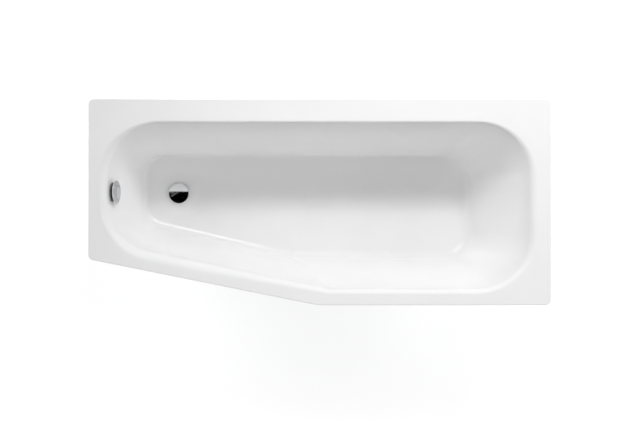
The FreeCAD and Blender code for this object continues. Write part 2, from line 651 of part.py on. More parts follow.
# the pressed sheet: rim, turned-down edge, walls, floor and the two holes
hollow = basin("hollow", "0", "rim_z", slab_over, "rim_roll_radius", "floor_fillet_radius")
form = basin("form", "sheet_thickness", "rim_z - sheet_thickness", slab_in_rim,
             "rim_roll_radius - sheet_thickness", "floor_fillet_radius + sheet_thickness")
rim_block = rim_solid("rim_block", "rim_z - skirt_depth", "skirt_depth", "0", 0.0, "rim_edge_radius")
rim_under = rim_solid("rim_under", "rim_z - skirt_depth - overrun",
                      "skirt_depth + overrun - sheet_thickness", "(-sheet_thickness)",
                      -size("sheet_thickness"), "rim_edge_radius - sheet_thickness")
rim_sheet = cut("rim_sheet", rim_block, rim_under)
pressing = cut("pressing", join("press_blank", form, rim_sheet), hollow)
drain_hole = rod("drain_hole", "drain_hole_radius", "2 * overrun",
                 x="drain_x", y="drain_y", z="seat_z - overrun")
ALONG_OVERFLOW = dict(x="overflow_x", y="overflow_y", z="overflow_z",
                      axis="0; 1; 0", turn="90 deg - foot_tilt")
overflow_hole = rod("overflow_hole", "overflow_hole_radius", "2 * overrun",
                    x="overflow_x - overrun * tilt_cos", y="overflow_y",
                    z="overflow_z - overrun * tilt_sin", axis="0; 1; 0", turn="90 deg - foot_tilt")
label(cut("shell", pressing, drain_hole, overflow_hole), "tub_shell")


# sound-deadening mats and the earth tag
def under_floor(x):
    """Height of the underside of the floor at x."""
    return f"(floor_z - sheet_thickness + ({x} - floor_foot_x) * fall_slope)"


label(box("floor_mat", "floor_mat_length", "floor_mat_width", "mat_thickness"), "floor_sound_mat",
      x="floor_mat_x + mat_thickness * sin(fall_tilt)",
      y="(floor_back_y + floor_front_y - floor_mat_width) / 2",
      z=f"{under_floor('floor_mat_x')} - mat_thickness * cos(fall_tilt)",
      axis="0; 1; 0", turn="-fall_tilt")
low = "(mat_drop + wall_mat_height * cos(back_tilt))"
label(box("back_mat", "back_mat_length", "mat_thickness", "wall_mat_height"), "back_sound_mat",
      x="back_mat_x",
      y=f"mouth_back_y + sheet_thickness - run_back * {low} / bath_depth",
      z=f"rim_z - {low}", axis="1; 0; 0", turn="-back_tilt")
low = "(mat_drop + wall_mat_height * cos(front_tilt))"
label(box("front_mat", "front_mat_length", "mat_thickness", "wall_mat_height"), "front_sound_mat",
      x="front_mat_x",
      y=f"mouth_front_y - sheet_thickness + run_front * {low} / bath_depth"
        " - mat_thickness * cos(front_tilt)",
      z=f"rim_z - {low} - mat_thickness * sin(front_tilt)", axis="1; 0; 0", turn="front_tilt")
tag_plate = box("tag_plate", "tag_length", "tag_width", "tag_thickness",
                x="tag_x - tag_length / 2", y="drain_y - tag_width / 2", z="tag_z - tag_thickness")
tag_drop = box("tag_drop", "tag_length", "tag_thickness", "tag_height", x="tag_x - tag_length / 2",
               y="drain_y + tag_width / 2 - tag_thickness", z="tag_z - tag_height")
tag_hole = rod("tag_hole", "tag_hole_radius", "overrun", x="tag_x", y="drain_y",
               z="tag_z - tag_height + tag_width / 2", axis="1; 0; 0", turn="-90")
label(cut("tag", join("tag_blank", tag_plate, tag_drop), tag_hole), "earth_tag")

# cross rails with their rubber strips, welded studs, washers and nuts, and the four screw legs
studs, washers, stud_nuts = [], [], []
for end in ("head", "drain"):
    x = f"{end}_rail_x"
    top = f"{end}_rail_top_z"
    front_leg = f"{end}_front_leg_y"
    back_leg = f"{end}_back_leg_y"
    length = f"({back_leg} - {front_leg} + 2 * rail_margin)"
    blank = box(f"{end}_rail_blank", "rail_width", length, "rail_height",
                x=f"{x} - rail_width / 2", y=f"{front_leg} - rail_margin", z=f"{top} - rail_height")
    room = box(f"{end}_rail_room", "rail_width - 2 * rail_thickness", f"{length} + 2 * overrun",
               "rail_height", x=f"{x} - rail_width / 2 + rail_thickness",
               y=f"{front_leg} - rail_margin - overrun", z=f"{top} - rail_height - rail_thickness")
    leg_holes = [rod(f"{end}_{side}_leg_hole", "spindle_radius + leg_hole_gap", "2 * overrun",
                     x=x, y=f"{end}_{side}_leg_y", z=f"{top} - overrun") for side in ("front", "back")]
    stud_holes = []
    for side, sign in (("front", "-"), ("back", "+")):
        stud_y = f"{end}_rail_y {sign} stud_spacing / 2"
        stud_holes.append(rod(f"{end}_{side}_stud_hole", "stud_radius + leg_hole_gap", "2 * overrun",
                              x=x, y=stud_y, z=f"{top} - overrun"))
        washer_z = f"{top} - rail_thickness - washer_thickness"
        nut_z = f"{washer_z} - stud_nut_height"
        stud_z = f"{nut_z} - stud_tail"
        stud_rise = f"{under_floor(x + ' - stud_radius')} - ({stud_z})"
        studs.append(rod(f"{end}_{side}_stud", "stud_radius", stud_rise, x=x, y=stud_y, z=stud_z))
        washers.append(turned(f"{end}_{side}_washer",
                              ring("washer_radius", "stud_radius + leg_hole_gap", "0", "washer_thickness"),
                              x=x, y=stud_y, z=washer_z))
        nut = hexagon(f"{end}_{side}_nut_blank", "stud_nut_radius", "stud_nut_height",
                      x=x, y=stud_y, z=nut_z)
        bore = rod(f"{end}_{side}_nut_bore", "stud_radius + thread_gap", "overrun",
                   x=x, y=stud_y, z=f"{nut_z} - overrun / 4")
        stud_nuts.append(cut(f"{end}_{side}_nut", nut, bore))
    label(cut(f"{end}_rail_cut", blank, room, *leg_holes, *stud_holes), f"{end}_rail")
    strip = new_body(f"{end}_strip")
    wedge = [(f"{x} - rail_width / 2", top), (f"{x} + rail_width / 2", top),
             (f"{x} + rail_width / 2", under_floor(x + " + rail_width / 2")),
             (f"{x} - rail_width / 2", under_floor(x + " - rail_width / 2"))]
    section = polygon(strip, f"{end}_strip_section", "XZ_Plane", wedge, f"-{end}_rail_y")
    strip_length = f"{length} - 2 * (rail_margin + leg_overhang + pad_margin)"
    strip_pad = pad(strip, f"{end}_strip_pad", section, strip_length)
    strip_pad.Midplane = True
    label(cut(f"{end}_strip_cut", strip, *stud_holes), f"{end}_rail_pad")
    for side in ("front", "back"):
        leg = f"{end}_{side}"
        at = dict(x=x, y=f"{end}_{side}_leg_y")
        label(rod(f"{leg}_sole", "sole_radius", "sole_thickness", **at), f"{leg}_sole")
        socket = "spindle_radius + thread_gap"
        edge_z = "sole_thickness + foot_plate"
        hub_z = "sole_thickness + foot_hub_height"
        profile = [("0", "sole_thickness"), ("foot_radius", "sole_thickness"), ("foot_radius", edge_z),
                   ("foot_hub_radius", f"{edge_z} + foot_cone"), ("foot_hub_radius", hub_z),
                   (socket, hub_z), (socket, "spindle_base_z"), ("0", "spindle_base_z")]
        label(turned(f"{leg}_foot_turned", profile, **at), f"{leg}_foot")
        label(rod(f"{leg}_spindle_rod", "spindle_radius", "spindle_length", z="spindle_base_z", **at),
              f"{leg}_spindle")
        low_nut = hexagon(f"{leg}_low_nut", "leg_nut_radius", "leg_nut_height",
                          z=f"{top} - rail_thickness - leg_nut_height", **at)
        lock_nut = hexagon(f"{leg}_lock_nut", "leg_nut_radius", "lock_nut_height", z=top, **at)
        bore = rod(f"{leg}_nut_bore", "spindle_radius + running_gap", "4 * overrun",
                   z=f"{top} - 2 * overrun", **at)
        label(group(f"{leg}_nut_pair", cut(f"{leg}_low_nut_cut", low_nut, bore),
                    cut(f"{leg}_lock_nut_cut", lock_nut, bore)), f"{leg}_nuts")
label(group("stud_set", *studs), "rail_studs")
label(group("washer_set", *washers), "rail_washers")
label(group("stud_nut_set", *stud_nuts), "rail_nuts")

# waste: flange with its cross, seals, plug and stem
AT_DRAIN = dict(x="drain_x", y="drain_y")
label(turned("flange_seal_ring", ring("flange_radius - flange_seal_margin", "drain_hole_radius",
                                      "seat_z", "flange_base_z"), **AT_DRAIN), "flange_seal")
barrel_inside = "(barrel_radius - barrel_wall)"
barrel_end = "flange_base_z - barrel_length"
flange_turned = turned("flange_turned", [
    (barrel_inside, barrel_end), ("barrel_radius", barrel_end), ("barrel_radius", "flange_base_z"),
    ("flange_radius", "flange_base_z"), ("flange_radius", "flange_base_z + flange_edge"),
    ("barrel_radius", "flange_top_z"), (barrel_inside, "flange_top_z")], **AT_DRAIN)
spider_z = "flange_top_z - spider_drop - spider_height"
spider_length = "(2 * barrel_radius - barrel_wall)"
spider_along = box("spider_along", spider_length, "spider_width", "spider_height",
                   x=f"drain_x - {spider_length} / 2", y="drain_y - spider_width / 2", z=spider_z)
spider_across = box("spider_across", "spider_width", spider_length, "spider_height",
                    x="drain_x - spider_width / 2", y=f"drain_y - {spider_length} / 2", z=spider_z)
guide = rod("guide", "guide_radius", "spider_height", z=spider_z, **AT_DRAIN)
guide_hole = rod("guide_hole", "stem_radius + running_gap", "2 * overrun",
                 z=f"{spider_z} - overrun", **AT_DRAIN)
flange_blank = join("flange_blank", flange_turned, spider_along, spider_across, guide)
label(cut("flange", flange_blank, guide_hole), "waste_flange")
CROWN_SHARES = (0.92, 0.75, 0.5, 0.25)


def crown(radius, base, rise):
    """Points of a shallow dome, from near the rim to the axis."""
    points = [(f"{radius} * {share}", f"{base} + {rise} * (1 - {share} ^ 2)") for share in CROWN_SHARES]
    return points + [("0", f"{base} + {rise}")]


label(turned("plug_turned", [
    ("0", "plug_base_z - plug_boss_height"), ("plug_boss_radius", "plug_base_z - plug_boss_height"),
    ("plug_boss_radius", "plug_base_z"), ("plug_radius - plug_bevel", "plug_base_z"),
    ("plug_radius", "plug_base_z + plug_bevel"), ("plug_radius", "plug_base_z + plug_edge - plug_bevel"),
    ("plug_radius - plug_bevel", "plug_base_z + plug_edge")]
    + crown("plug_radius", "plug_base_z + plug_edge", "plug_crown"), **AT_DRAIN), "plug_cover")
seal_section = ring(f"{barrel_inside} - clear_gap", "plug_boss_radius + thread_gap",
                    "plug_base_z - plug_seal_height", "plug_base_z")
label(turned("plug_seal_ring", seal_section, **AT_DRAIN), "plug_seal")
label(turned("stem_turned", [
    ("0", "stem_end_z"), ("stem_tip_radius", "stem_end_z"), ("stem_radius", "stem_end_z + stem_tip_length"),
    ("stem_radius", "plug_base_z - plug_boss_height"), ("0", "plug_base_z - plug_boss_height")],
    **AT_DRAIN), "plug_stem")

# waste body with chamber, dip tube, overflow inlet, outlet spigot and cable gland
label(turned("body_seal_ring", ring("body_flange_radius - flange_seal_margin", "drain_hole_radius",
                                    "body_top_z", "seat_under_z"), **AT_DRAIN), "body_seal")
collar = "barrel_radius + thread_gap"
chamber_out = "chamber_radius + body_wall"
plate_z = "chamber_floor_z - body_wall"
dip_end = "chamber_floor_z - dip_length"
dip_inside = "dip_radius - dip_wall"
body_turned = turned("body_turned", [
    (collar, "body_top_z"), ("body_flange_radius", "body_top_z"),
    ("body_flange_radius", "body_top_z - body_flange_thickness"),
    (chamber_out, "body_top_z - body_flange_thickness"), (chamber_out, "chamber_floor_z"),
    ("trap_radius", "chamber_floor_z"), ("trap_radius", "trap_end_z"), ("trap_inside", "trap_end_z"),
    ("trap_inside", plate_z), ("dip_radius", plate_z), ("dip_radius", dip_end), (dip_inside, dip_end),
    (dip_inside, "chamber_floor_z"), ("chamber_radius", "chamber_floor_z"),
    ("chamber_radius", "chamber_top_z"), (collar, "chamber_top_z")], **AT_DRAIN)
TO_FOOT = dict(axis="0; 1; 0", turn="-90")
TO_BACK = dict(axis="1; 0; 0", turn="-90")
inlet = rod("inlet", "socket_radius", "inlet_reach", z="inlet_z", **AT_DRAIN, **TO_FOOT)
gland = rod("gland", "cable_radius + running_gap + gland_wall", "gland_length",
            x="drain_x", y="drain_y + cable_offset", z="inlet_z", **TO_FOOT)
spigot_start = "(trap_inside + dip_radius) / 2"
collar_reach = f"trap_radius + spigot_shoulder - {spigot_start}"
AT_SPIGOT = dict(x="drain_x", y=f"drain_y + {spigot_start}", z="spigot_z", **TO_BACK)
spigot = rod("spigot", "spigot_radius", f"{collar_reach} + spigot_length", **AT_SPIGOT)
spigot_collar = rod("spigot_collar", "spigot_radius + spigot_shoulder", collar_reach, **AT_SPIGOT)
chamber_room = rod("chamber_room", "chamber_radius", "chamber_height", z="chamber_floor_z", **AT_DRAIN)
collar_room = rod("collar_room", collar, "collar_depth", z="chamber_top_z", **AT_DRAIN)
dip_room = rod("dip_room", dip_inside, "dip_length", z=dip_end, **AT_DRAIN)
trap_room = turned("trap_room", ring("trap_inside", "dip_radius", "trap_end_z", plate_z), **AT_DRAIN)
inlet_way = rod("inlet_way", "pipe_radius - pipe_wall", "inlet_reach", z="inlet_z", **AT_DRAIN, **TO_FOOT)
inlet_bore = rod("inlet_bore", "pipe_radius + running_gap", "pipe_insertion",
                 x="drain_x - inlet_reach + pipe_insertion", y="drain_y", z="inlet_z", **TO_FOOT)
gland_way = rod("gland_way", "wire_radius", "gland_length",
                x="drain_x", y="drain_y + cable_offset", z="inlet_z", **TO_FOOT)
gland_bore = rod("gland_bore", "cable_radius + running_gap", "gland_insertion",
                 x="drain_x - gland_length + gland_insertion", y="drain_y + cable_offset",
                 z="inlet_z", **TO_FOOT)
spigot_way = rod("spigot_way", "spigot_radius - spigot_wall", f"{collar_reach} + spigot_length",
                 **AT_SPIGOT)
pin_hole = rod("pin_hole", "pin_radius + running_gap", "pin_length",
               x="lever_x", y="drain_y - pin_length / 2", z="lever_z", **TO_BACK)
body_blank = join("body_blank", body_turned, inlet, gland, spigot, spigot_collar)
label(cut("body_cut", body_blank, chamber_room, collar_room, dip_room, trap_room, inlet_way,
          inlet_bore, gland_way, gland_bore, spigot_way, pin_hole), "waste_body")

# trap cup with its seal and ring nut
label(turned("trap_seal_ring", ring("trap_radius", "trap_inside", "cup_top_z", "trap_end_z"), **AT_DRAIN),
      "trap_seal")
cup_flange_z = "cup_top_z - cup_flange_thickness"
cup_end = "cup_top_z - cup_depth"
cup_inside = "trap_inside - cup_wall"
label(turned("cup_turned", [
    (cup_inside, "cup_top_z"), ("trap_radius", "cup_top_z"), ("trap_radius", cup_flange_z),
    ("trap_inside", cup_flange_z), ("trap_inside", f"{cup_end} + 2 * cup_wall"),
    ("trap_inside - 2 * cup_wall", cup_end), ("0", cup_end), ("0", f"{cup_end} + cup_wall"),
    (f"{cup_inside} - 2 * cup_wall", f"{cup_end} + cup_wall"), (cup_inside, f"{cup_end} + 3 * cup_wall")],
    **AT_DRAIN), "trap_cup")
ring_inside = "trap_radius + thread_gap"
lip_inside = "trap_inside + thread_gap"
ring_top = "trap_end_z + ring_grip"
ring_end = f"{cup_flange_z} - ring_lip"
label(turned("ring_turned", [
    (ring_inside, ring_top), (f"{ring_inside} + ring_wall", ring_top),
    (f"{ring_inside} + ring_wall", ring_end), (lip_inside, ring_end), (lip_inside, cup_flange_z),
    (ring_inside, cup_flange_z)], **AT_DRAIN), "trap_ring_nut")

# lift lever on its pin, hanging under the end of the plug stem
AT_LEVER = dict(x="lever_x", y="drain_y", z="lever_z", axis="0; 1; 0", turn="-lever_start * 1 deg")
hub = rod("lever_hub", "lever_hub_radius", "lever_width", y="-lever_width / 2", **TO_BACK)
finger = box("lever_finger", "lever_arm + stem_tip_radius", "lever_width", "lever_thickness",
             x="-lever_arm - stem_tip_radius", y="-lever_width / 2", z="-lever_thickness / 2")
tail_arm = box("lever_tail_arm", "lever_thickness", "lever_width", "lever_tail",
               x="-lever_thickness / 2", y="-lever_width / 2")
lever_bore = rod("lever_bore", "pin_radius + running_gap", "2 * lever_width", y="-lever_width", **TO_BACK)
label(cut("lever", join("lever_blank", hub, finger, tail_arm), lever_bore), "lift_lever", **AT_LEVER)
label(rod("pin", "pin_radius", "pin_length", x="lever_x", y="drain_y - pin_length / 2",
          z="lever_z", **TO_BACK), "lever_pin")

# overflow, drawn along its own axis with the wall's inner face at height zero
clamp_ring_turned = turned("clamp_turned", ring("clamp_radius", "clamp_radius - clamp_ring",
                                                "0", "clamp_thickness"))
clamp_bar = box("clamp_bar", "clamp_bar_width", "2 * clamp_radius - clamp_ring", "clamp_thickness",
                x="-clamp_bar_width / 2", y="-clamp_radius + clamp_ring / 2")
clamp_hub = rod("clamp_hub", "bearing_radius", "clamp_thickness")
shaft_hole = rod("shaft_hole", "shaft_radius + running_gap", "4 * overrun", z="-3 * overrun")
screw_holes = [rod(f"screw_hole_{side}", "screw_radius + thread_gap", "screw_length + overrun",
                   y=f"{sign}screw_offset", z="clamp_thickness - screw_length")
               for side, sign in (("front", "-"), ("back", ""))]
label(cut("clamp", join("clamp_blank", clamp_ring_turned, clamp_bar, clamp_hub), shaft_hole, *screw_holes),
      "overflow_clamp", **ALONG_OVERFLOW)
screws = []
for side, sign in (("front", "-"), ("back", "")):
    screws.append(turned(f"screw_{side}", [
        ("0", "clamp_thickness - screw_length"), ("screw_radius", "clamp_thickness - screw_length"),
        ("screw_radius", "clamp_thickness"), ("screw_head_radius", "clamp_thickness"),
        ("screw_head_radius", "clamp_thickness + screw_head_height"),
        ("0", "clamp_thickness + screw_head_height")], y=f"{sign}screw_offset"))
label(group("screw_set", *screws), "overflow_screws", **ALONG_OVERFLOW)
gasket_section = ring("gasket_radius", "overflow_hole_radius", "housing_top", "-foot_wall_thickness")
label(turned("gasket_turned", gasket_section, **ALONG_OVERFLOW), "overflow_gasket")
housing_inside = "housing_radius - housing_wall"
housing_floor = "housing_back + housing_wall"
DOWN_WALL = dict(axis="0; 1; 0", turn="90")
housing_turned = turned("housing_turned", [
    (housing_inside, "housing_top"), ("gasket_radius", "housing_top"),
    ("gasket_radius", "housing_top - housing_flange_thickness"),
    ("housing_radius", "housing_top - housing_flange_thickness"), ("housing_radius", "housing_back"),
    ("0", "housing_back"), ("0", housing_floor), (housing_inside, housing_floor)])
outlet = rod("outlet", "socket_radius", "housing_reach", z="outlet_axis", **DOWN_WALL)
housing_gland = rod("housing_gland", "cable_radius + running_gap + gland_wall", "gland_length",
                    y="cable_offset", z="outlet_axis", **DOWN_WALL)
housing_room = rod("housing_room", housing_inside, "housing_depth - housing_wall", z=housing_floor)
housing_blank = join("housing_blank", housing_turned, outlet, housing_gland)
housing_shell = cut("housing_shell", housing_blank, housing_room)
boss_height = f"-clear_gap - ({housing_floor}) + housing_wall / 2"
bosses = [rod(f"screw_boss_{side}", "screw_boss_radius", boss_height, y=f"{sign}screw_offset",
              z=f"{housing_floor} - housing_wall / 2") for side, sign in (("front", "-"), ("back", ""))]
bearing = rod("bearing", "bearing_radius", "bearing_length + housing_wall / 2",
              z=f"{housing_floor} - housing_wall / 2")
way_start = "(housing_radius - housing_wall - screw_boss_radius - socket_step)"
outlet_way = rod("outlet_way", "pipe_radius - pipe_wall", f"housing_reach - {way_start}",
                 x=way_start, z="outlet_axis", **DOWN_WALL)
outlet_bore = rod("outlet_bore", "pipe_radius + running_gap", "pipe_insertion",
                  x="housing_reach - pipe_insertion", z="outlet_axis", **DOWN_WALL)
wire_way = rod("wire_way", "wire_radius", "gland_length", y="cable_offset", z="outlet_axis", **DOWN_WALL)
sheath_bore = rod("sheath_bore", "cable_radius + running_gap", "gland_insertion",
                  x="gland_length - gland_insertion", y="cable_offset", z="outlet_axis", **DOWN_WALL)
bearing_bore = rod("bearing_bore", "shaft_radius + running_gap", "housing_depth", z=housing_floor)
housing_full = join("housing_full", housing_shell, *bosses, bearing)
label(cut("housing_cut", housing_full, outlet_way, outlet_bore, wire_way, sheath_bore,
          bearing_bore, *screw_holes), "overflow_housing", **ALONG_OVERFLOW)

# turn knob with its shaft and cable drum
shaft_bore = "shaft_radius + thread_gap"
hub_z = "clamp_thickness + clear_gap"
front_z = "knob_standoff + knob_edge"
knob_turned = turned("knob_turned", [
    (shaft_bore, hub_z), ("knob_hub_radius", hub_z), ("knob_hub_radius", "knob_standoff"),
    ("knob_radius - knob_bevel", "knob_standoff"), ("knob_radius", "knob_standoff + knob_bevel"),
    ("knob_radius", f"{front_z} - knob_bevel"), ("knob_radius - knob_bevel", front_z)]
    + crown("knob_radius", front_z, "knob_crown")
    + [("0", "knob_front - knob_web"), (shaft_bore, "knob_front - knob_web")])
mark = rod("knob_mark", "mark_radius", "knob_crown / 2 + mark_height", x="knob_radius - mark_inset", z=front_z)
label(join("knob", knob_turned, mark), "control_knob", **ALONG_OVERFLOW)
shaft_low = f"({housing_floor} + clear_gap)"
label(put(rod("shaft", "shaft_radius", f"knob_front - knob_web - {shaft_low}"),
          x=f"overflow_x + {shaft_low} * tilt_cos", y="overflow_y", z=f"overflow_z + {shaft_low} * tilt_sin",
          axis="0; 1; 0", turn="90 deg - foot_tilt"), "knob_shaft")
drum_low = f"({housing_floor} + bearing_length + clear_gap)"
drum_rim = f"{drum_low} + drum_width / 4"
drum_far = f"{drum_low} + drum_width * 3 / 4"
label(turned("drum_turned", [
    (shaft_bore, drum_low), ("drum_radius", drum_low), ("drum_radius", drum_rim),
    ("drum_radius - drum_groove", f"{drum_low} + drum_width / 2"), ("drum_radius", drum_far),
    ("drum_radius", f"{drum_low} + drum_width"), (shaft_bore, f"{drum_low} + drum_width")],
    **ALONG_OVERFLOW), "cable_drum")


def route(side, start, finish):
    """A wire parallel to the foot wall, one bend, then level to the waste body.

    start and finish are distances along the run from the axes of housing and waste body.
    """
    lean = FreeCAD.Vector(size("tilt_sin"), 0, -size("tilt_cos"))
    level = FreeCAD.Vector(1, 0, 0)
    head = FreeCAD.Vector(size("outlet_x"), size("drain_y") + side, size("outlet_z"))
    drop = (size("outlet_z") - size("inlet_z")) / size("tilt_cos")
    corner = head + lean * drop
    turn = lean.getAngle(level)
    tangent = size("pipe_bend") * math.tan(turn / 2)
    before = corner - lean * tangent
    after = corner + level * tangent
    inward = (level - lean).normalize()
    centre = corner + inward * (size("pipe_bend") / math.cos(turn / 2))
    middle = centre - inward * size("pipe_bend")
    last = FreeCAD.Vector(size("drain_x") - finish, size("drain_y") + side, size("inlet_z"))
    edges = [Part.LineSegment(head + lean * start, before).toShape(),
             Part.Arc(before, middle, after).toShape(),
             Part.LineSegment(after, last).toShape()]
    return Part.Wire(edges), head + lean * start, lean


def swept(radius, side, start, finish):
    """A round bar along a route."""
    wire, first, along = route(side, start, finish)
    section = Part.Wire(Part.makeCircle(radius, first, along))
    bar = wire.makePipeShell([section], True, False)
    want = math.pi * radius ** 2 * wire.Length
    if abs(bar.Volume - want) > want * SEEK_SHARE:
        raise RuntimeError("a swept bar lost its section")
    return bar


pipe = doc.addObject("Part::Feature", "pipe")
pipe_start = size("housing_reach") - size("pipe_insertion")
pipe_finish = size("inlet_reach") - size("pipe_insertion")
pipe.Shape = swept(size("pipe_radius"), 0, pipe_start, pipe_finish).cut(
    swept(size("pipe_radius") - size("pipe_wall"), 0, pipe_start, pipe_finish))
label(pipe, "overflow_pipe")
cable = doc.addObject("Part::Feature", "cable")
cable_end = size("gland_length") - size("gland_insertion")
cable.Shape = swept(size("cable_radius"), size("cable_offset"), cable_end, cable_end)
label(cable, "pull_cable")

# union nuts and seals at both sockets, collars and clips of the cable
AT_OUTLET = dict(x="outlet_x + housing_reach * tilt_sin", y="overflow_y",
                 z="outlet_z - housing_reach * tilt_cos", axis="0; 1; 0", turn="180 deg - foot_tilt")
AT_INLET = dict(x="drain_x - inlet_reach", y="drain_y", z="inlet_z", **TO_FOOT)
AT_GLANDS = [dict(x="outlet_x + gland_length * tilt_sin", y="overflow_y + cable_offset",
                  z="outlet_z - gland_length * tilt_cos", axis="0; 1; 0", turn="180 deg - foot_tilt"),
             dict(x="drain_x - gland_length", y="drain_y + cable_offset", z="inlet_z", **TO_FOOT)]
pipe_fit = "pipe_radius + thread_gap"
nut_inside = "socket_radius + thread_gap"
nut_end = "pipe_seal_thickness + union_lip"
unions, seals, collars = [], [], []
for end, at in (("outlet", AT_OUTLET), ("inlet", AT_INLET)):
    unions.append(turned(f"{end}_union", [
        (nut_inside, "-union_grip"), (f"{nut_inside} + union_wall", "-union_grip"),
        (f"{nut_inside} + union_wall", nut_end), (pipe_fit, nut_end), (pipe_fit, "pipe_seal_thickness"),
        (nut_inside, "pipe_seal_thickness")], **at))
    seal_section = ring("socket_radius", pipe_fit, "0", "pipe_seal_thickness")
    seals.append(turned(f"{end}_pipe_seal", seal_section, **at))
for number, at in enumerate(AT_GLANDS):
    collar_section = ring("cable_radius + thread_gap + ferrule_wall", "cable_radius + thread_gap",
                          "0", "ferrule_length")
    collars.append(turned(f"collar_{number}", collar_section, **at))
label(group("union_set", *unions), "union_nuts")
label(group("pipe_seal_set", *seals), "pipe_seals")
label(group("collar_set", *collars), "cable_ferrules")
clips = []
for number in range(3):
    along = f"(housing_reach + seal_reach + clip_spacing * (1 + 2 * {number}) / 2)"
    big = rod(f"clip_{number}_big", f"{pipe_fit} + clip_wall", "clip_width", z="-clip_width / 2")
    small = rod(f"clip_{number}_small", "cable_radius + thread_gap + clip_wall", "clip_width",
                y="cable_offset", z="-clip_width / 2")
    web = box(f"clip_{number}_web", "2 * clip_wall", "cable_offset", "clip_width",
              x="-clip_wall", z="-clip_width / 2")
    big_hole = rod(f"clip_{number}_big_hole", pipe_fit, "2 * clip_width", z="-clip_width")
    small_hole = rod(f"clip_{number}_small_hole", "cable_radius + thread_gap", "2 * clip_width",
                     y="cable_offset", z="-clip_width")
    clip = cut(f"clip_{number}", join(f"clip_{number}_blank", big, small, web), big_hole, small_hole)
    clips.append(put(clip, x=f"outlet_x + {along} * tilt_sin", y="drain_y",
                     z=f"outlet_z - {along} * tilt_cos", axis="0; 1; 0", turn="180 deg - foot_tilt"))
label(group("clip_set", *clips), "cable_clips")


def check():
    """Stop if any feature failed or any finished piece is empty or broken."""
    doc.recompute()
    for obj in doc.Objects:
        if any(word in obj.State for word in ("Invalid", "Error")):
            raise RuntimeError(f"{obj.Name} failed: {obj.State}")
    for piece in PIECES:
        if piece.Shape.isNull() or not piece.Shape.isValid():
            raise RuntimeError(f"{piece.Label} has a broken shape")


check()
os.makedirs("parts", exist_ok=True)
for piece in PIECES:
    piece.Shape.exportStep(f"parts/{piece.Label}.step")
    print(piece.Label, len(piece.Shape.Solids), round(piece.Shape.Volume), piece.Shape.BoundBox)
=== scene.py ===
import json
import math

import bmesh
import bpy
import numpy as np
from bpy.props import FloatProperty, FloatVectorProperty, IntProperty, PointerProperty
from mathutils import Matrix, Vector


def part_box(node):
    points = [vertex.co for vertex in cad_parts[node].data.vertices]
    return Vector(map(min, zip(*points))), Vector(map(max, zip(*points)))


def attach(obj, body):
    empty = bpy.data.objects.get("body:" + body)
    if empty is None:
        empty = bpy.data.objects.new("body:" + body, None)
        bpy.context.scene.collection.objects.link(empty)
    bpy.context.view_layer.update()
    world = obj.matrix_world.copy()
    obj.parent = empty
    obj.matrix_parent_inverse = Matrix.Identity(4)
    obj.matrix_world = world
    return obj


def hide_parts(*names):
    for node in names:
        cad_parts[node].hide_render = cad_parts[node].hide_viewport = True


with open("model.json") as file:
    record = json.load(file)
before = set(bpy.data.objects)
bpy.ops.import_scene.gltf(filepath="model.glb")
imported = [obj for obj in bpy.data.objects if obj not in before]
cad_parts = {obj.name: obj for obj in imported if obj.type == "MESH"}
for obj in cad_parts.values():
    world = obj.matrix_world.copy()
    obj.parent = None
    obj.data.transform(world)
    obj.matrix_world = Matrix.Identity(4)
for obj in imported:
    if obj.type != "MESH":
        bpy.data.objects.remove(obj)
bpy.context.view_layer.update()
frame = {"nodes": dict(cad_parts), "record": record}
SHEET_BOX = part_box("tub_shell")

bl_info = {
    "name": "Space-saving bath",
    "version": (1, 0, 0),
    "blender": (4, 5, 0),
    "location": "3D View > Sidebar > Bath",
    "description": "Enamelled bath with tapered foot end, pop-up waste, overflow knob and screw legs",
    "category": "Object",
}

UP = np.array([0.0, 0.0, 1.0])
WHITE = (1.0, 1.0, 1.0, 1.0)
LEGS = ("head_front", "head_back", "drain_front", "drain_back")


def length(label, meaning, value):
    return FloatProperty(name=label, description=meaning, default=value, unit="LENGTH", precision=4)


def lengths(label, meaning, values):
    return FloatVectorProperty(name=label, description=meaning, default=values, size=len(values), unit="LENGTH",
                               precision=4)


def colour(label, meaning, value):
    return FloatVectorProperty(name=label, description=meaning, default=value, size=3, subtype="COLOR",
                               min=0.0, max=1.0)


def count(label, meaning, value):
    return IntProperty(name=label, description=meaning, default=value, min=1)


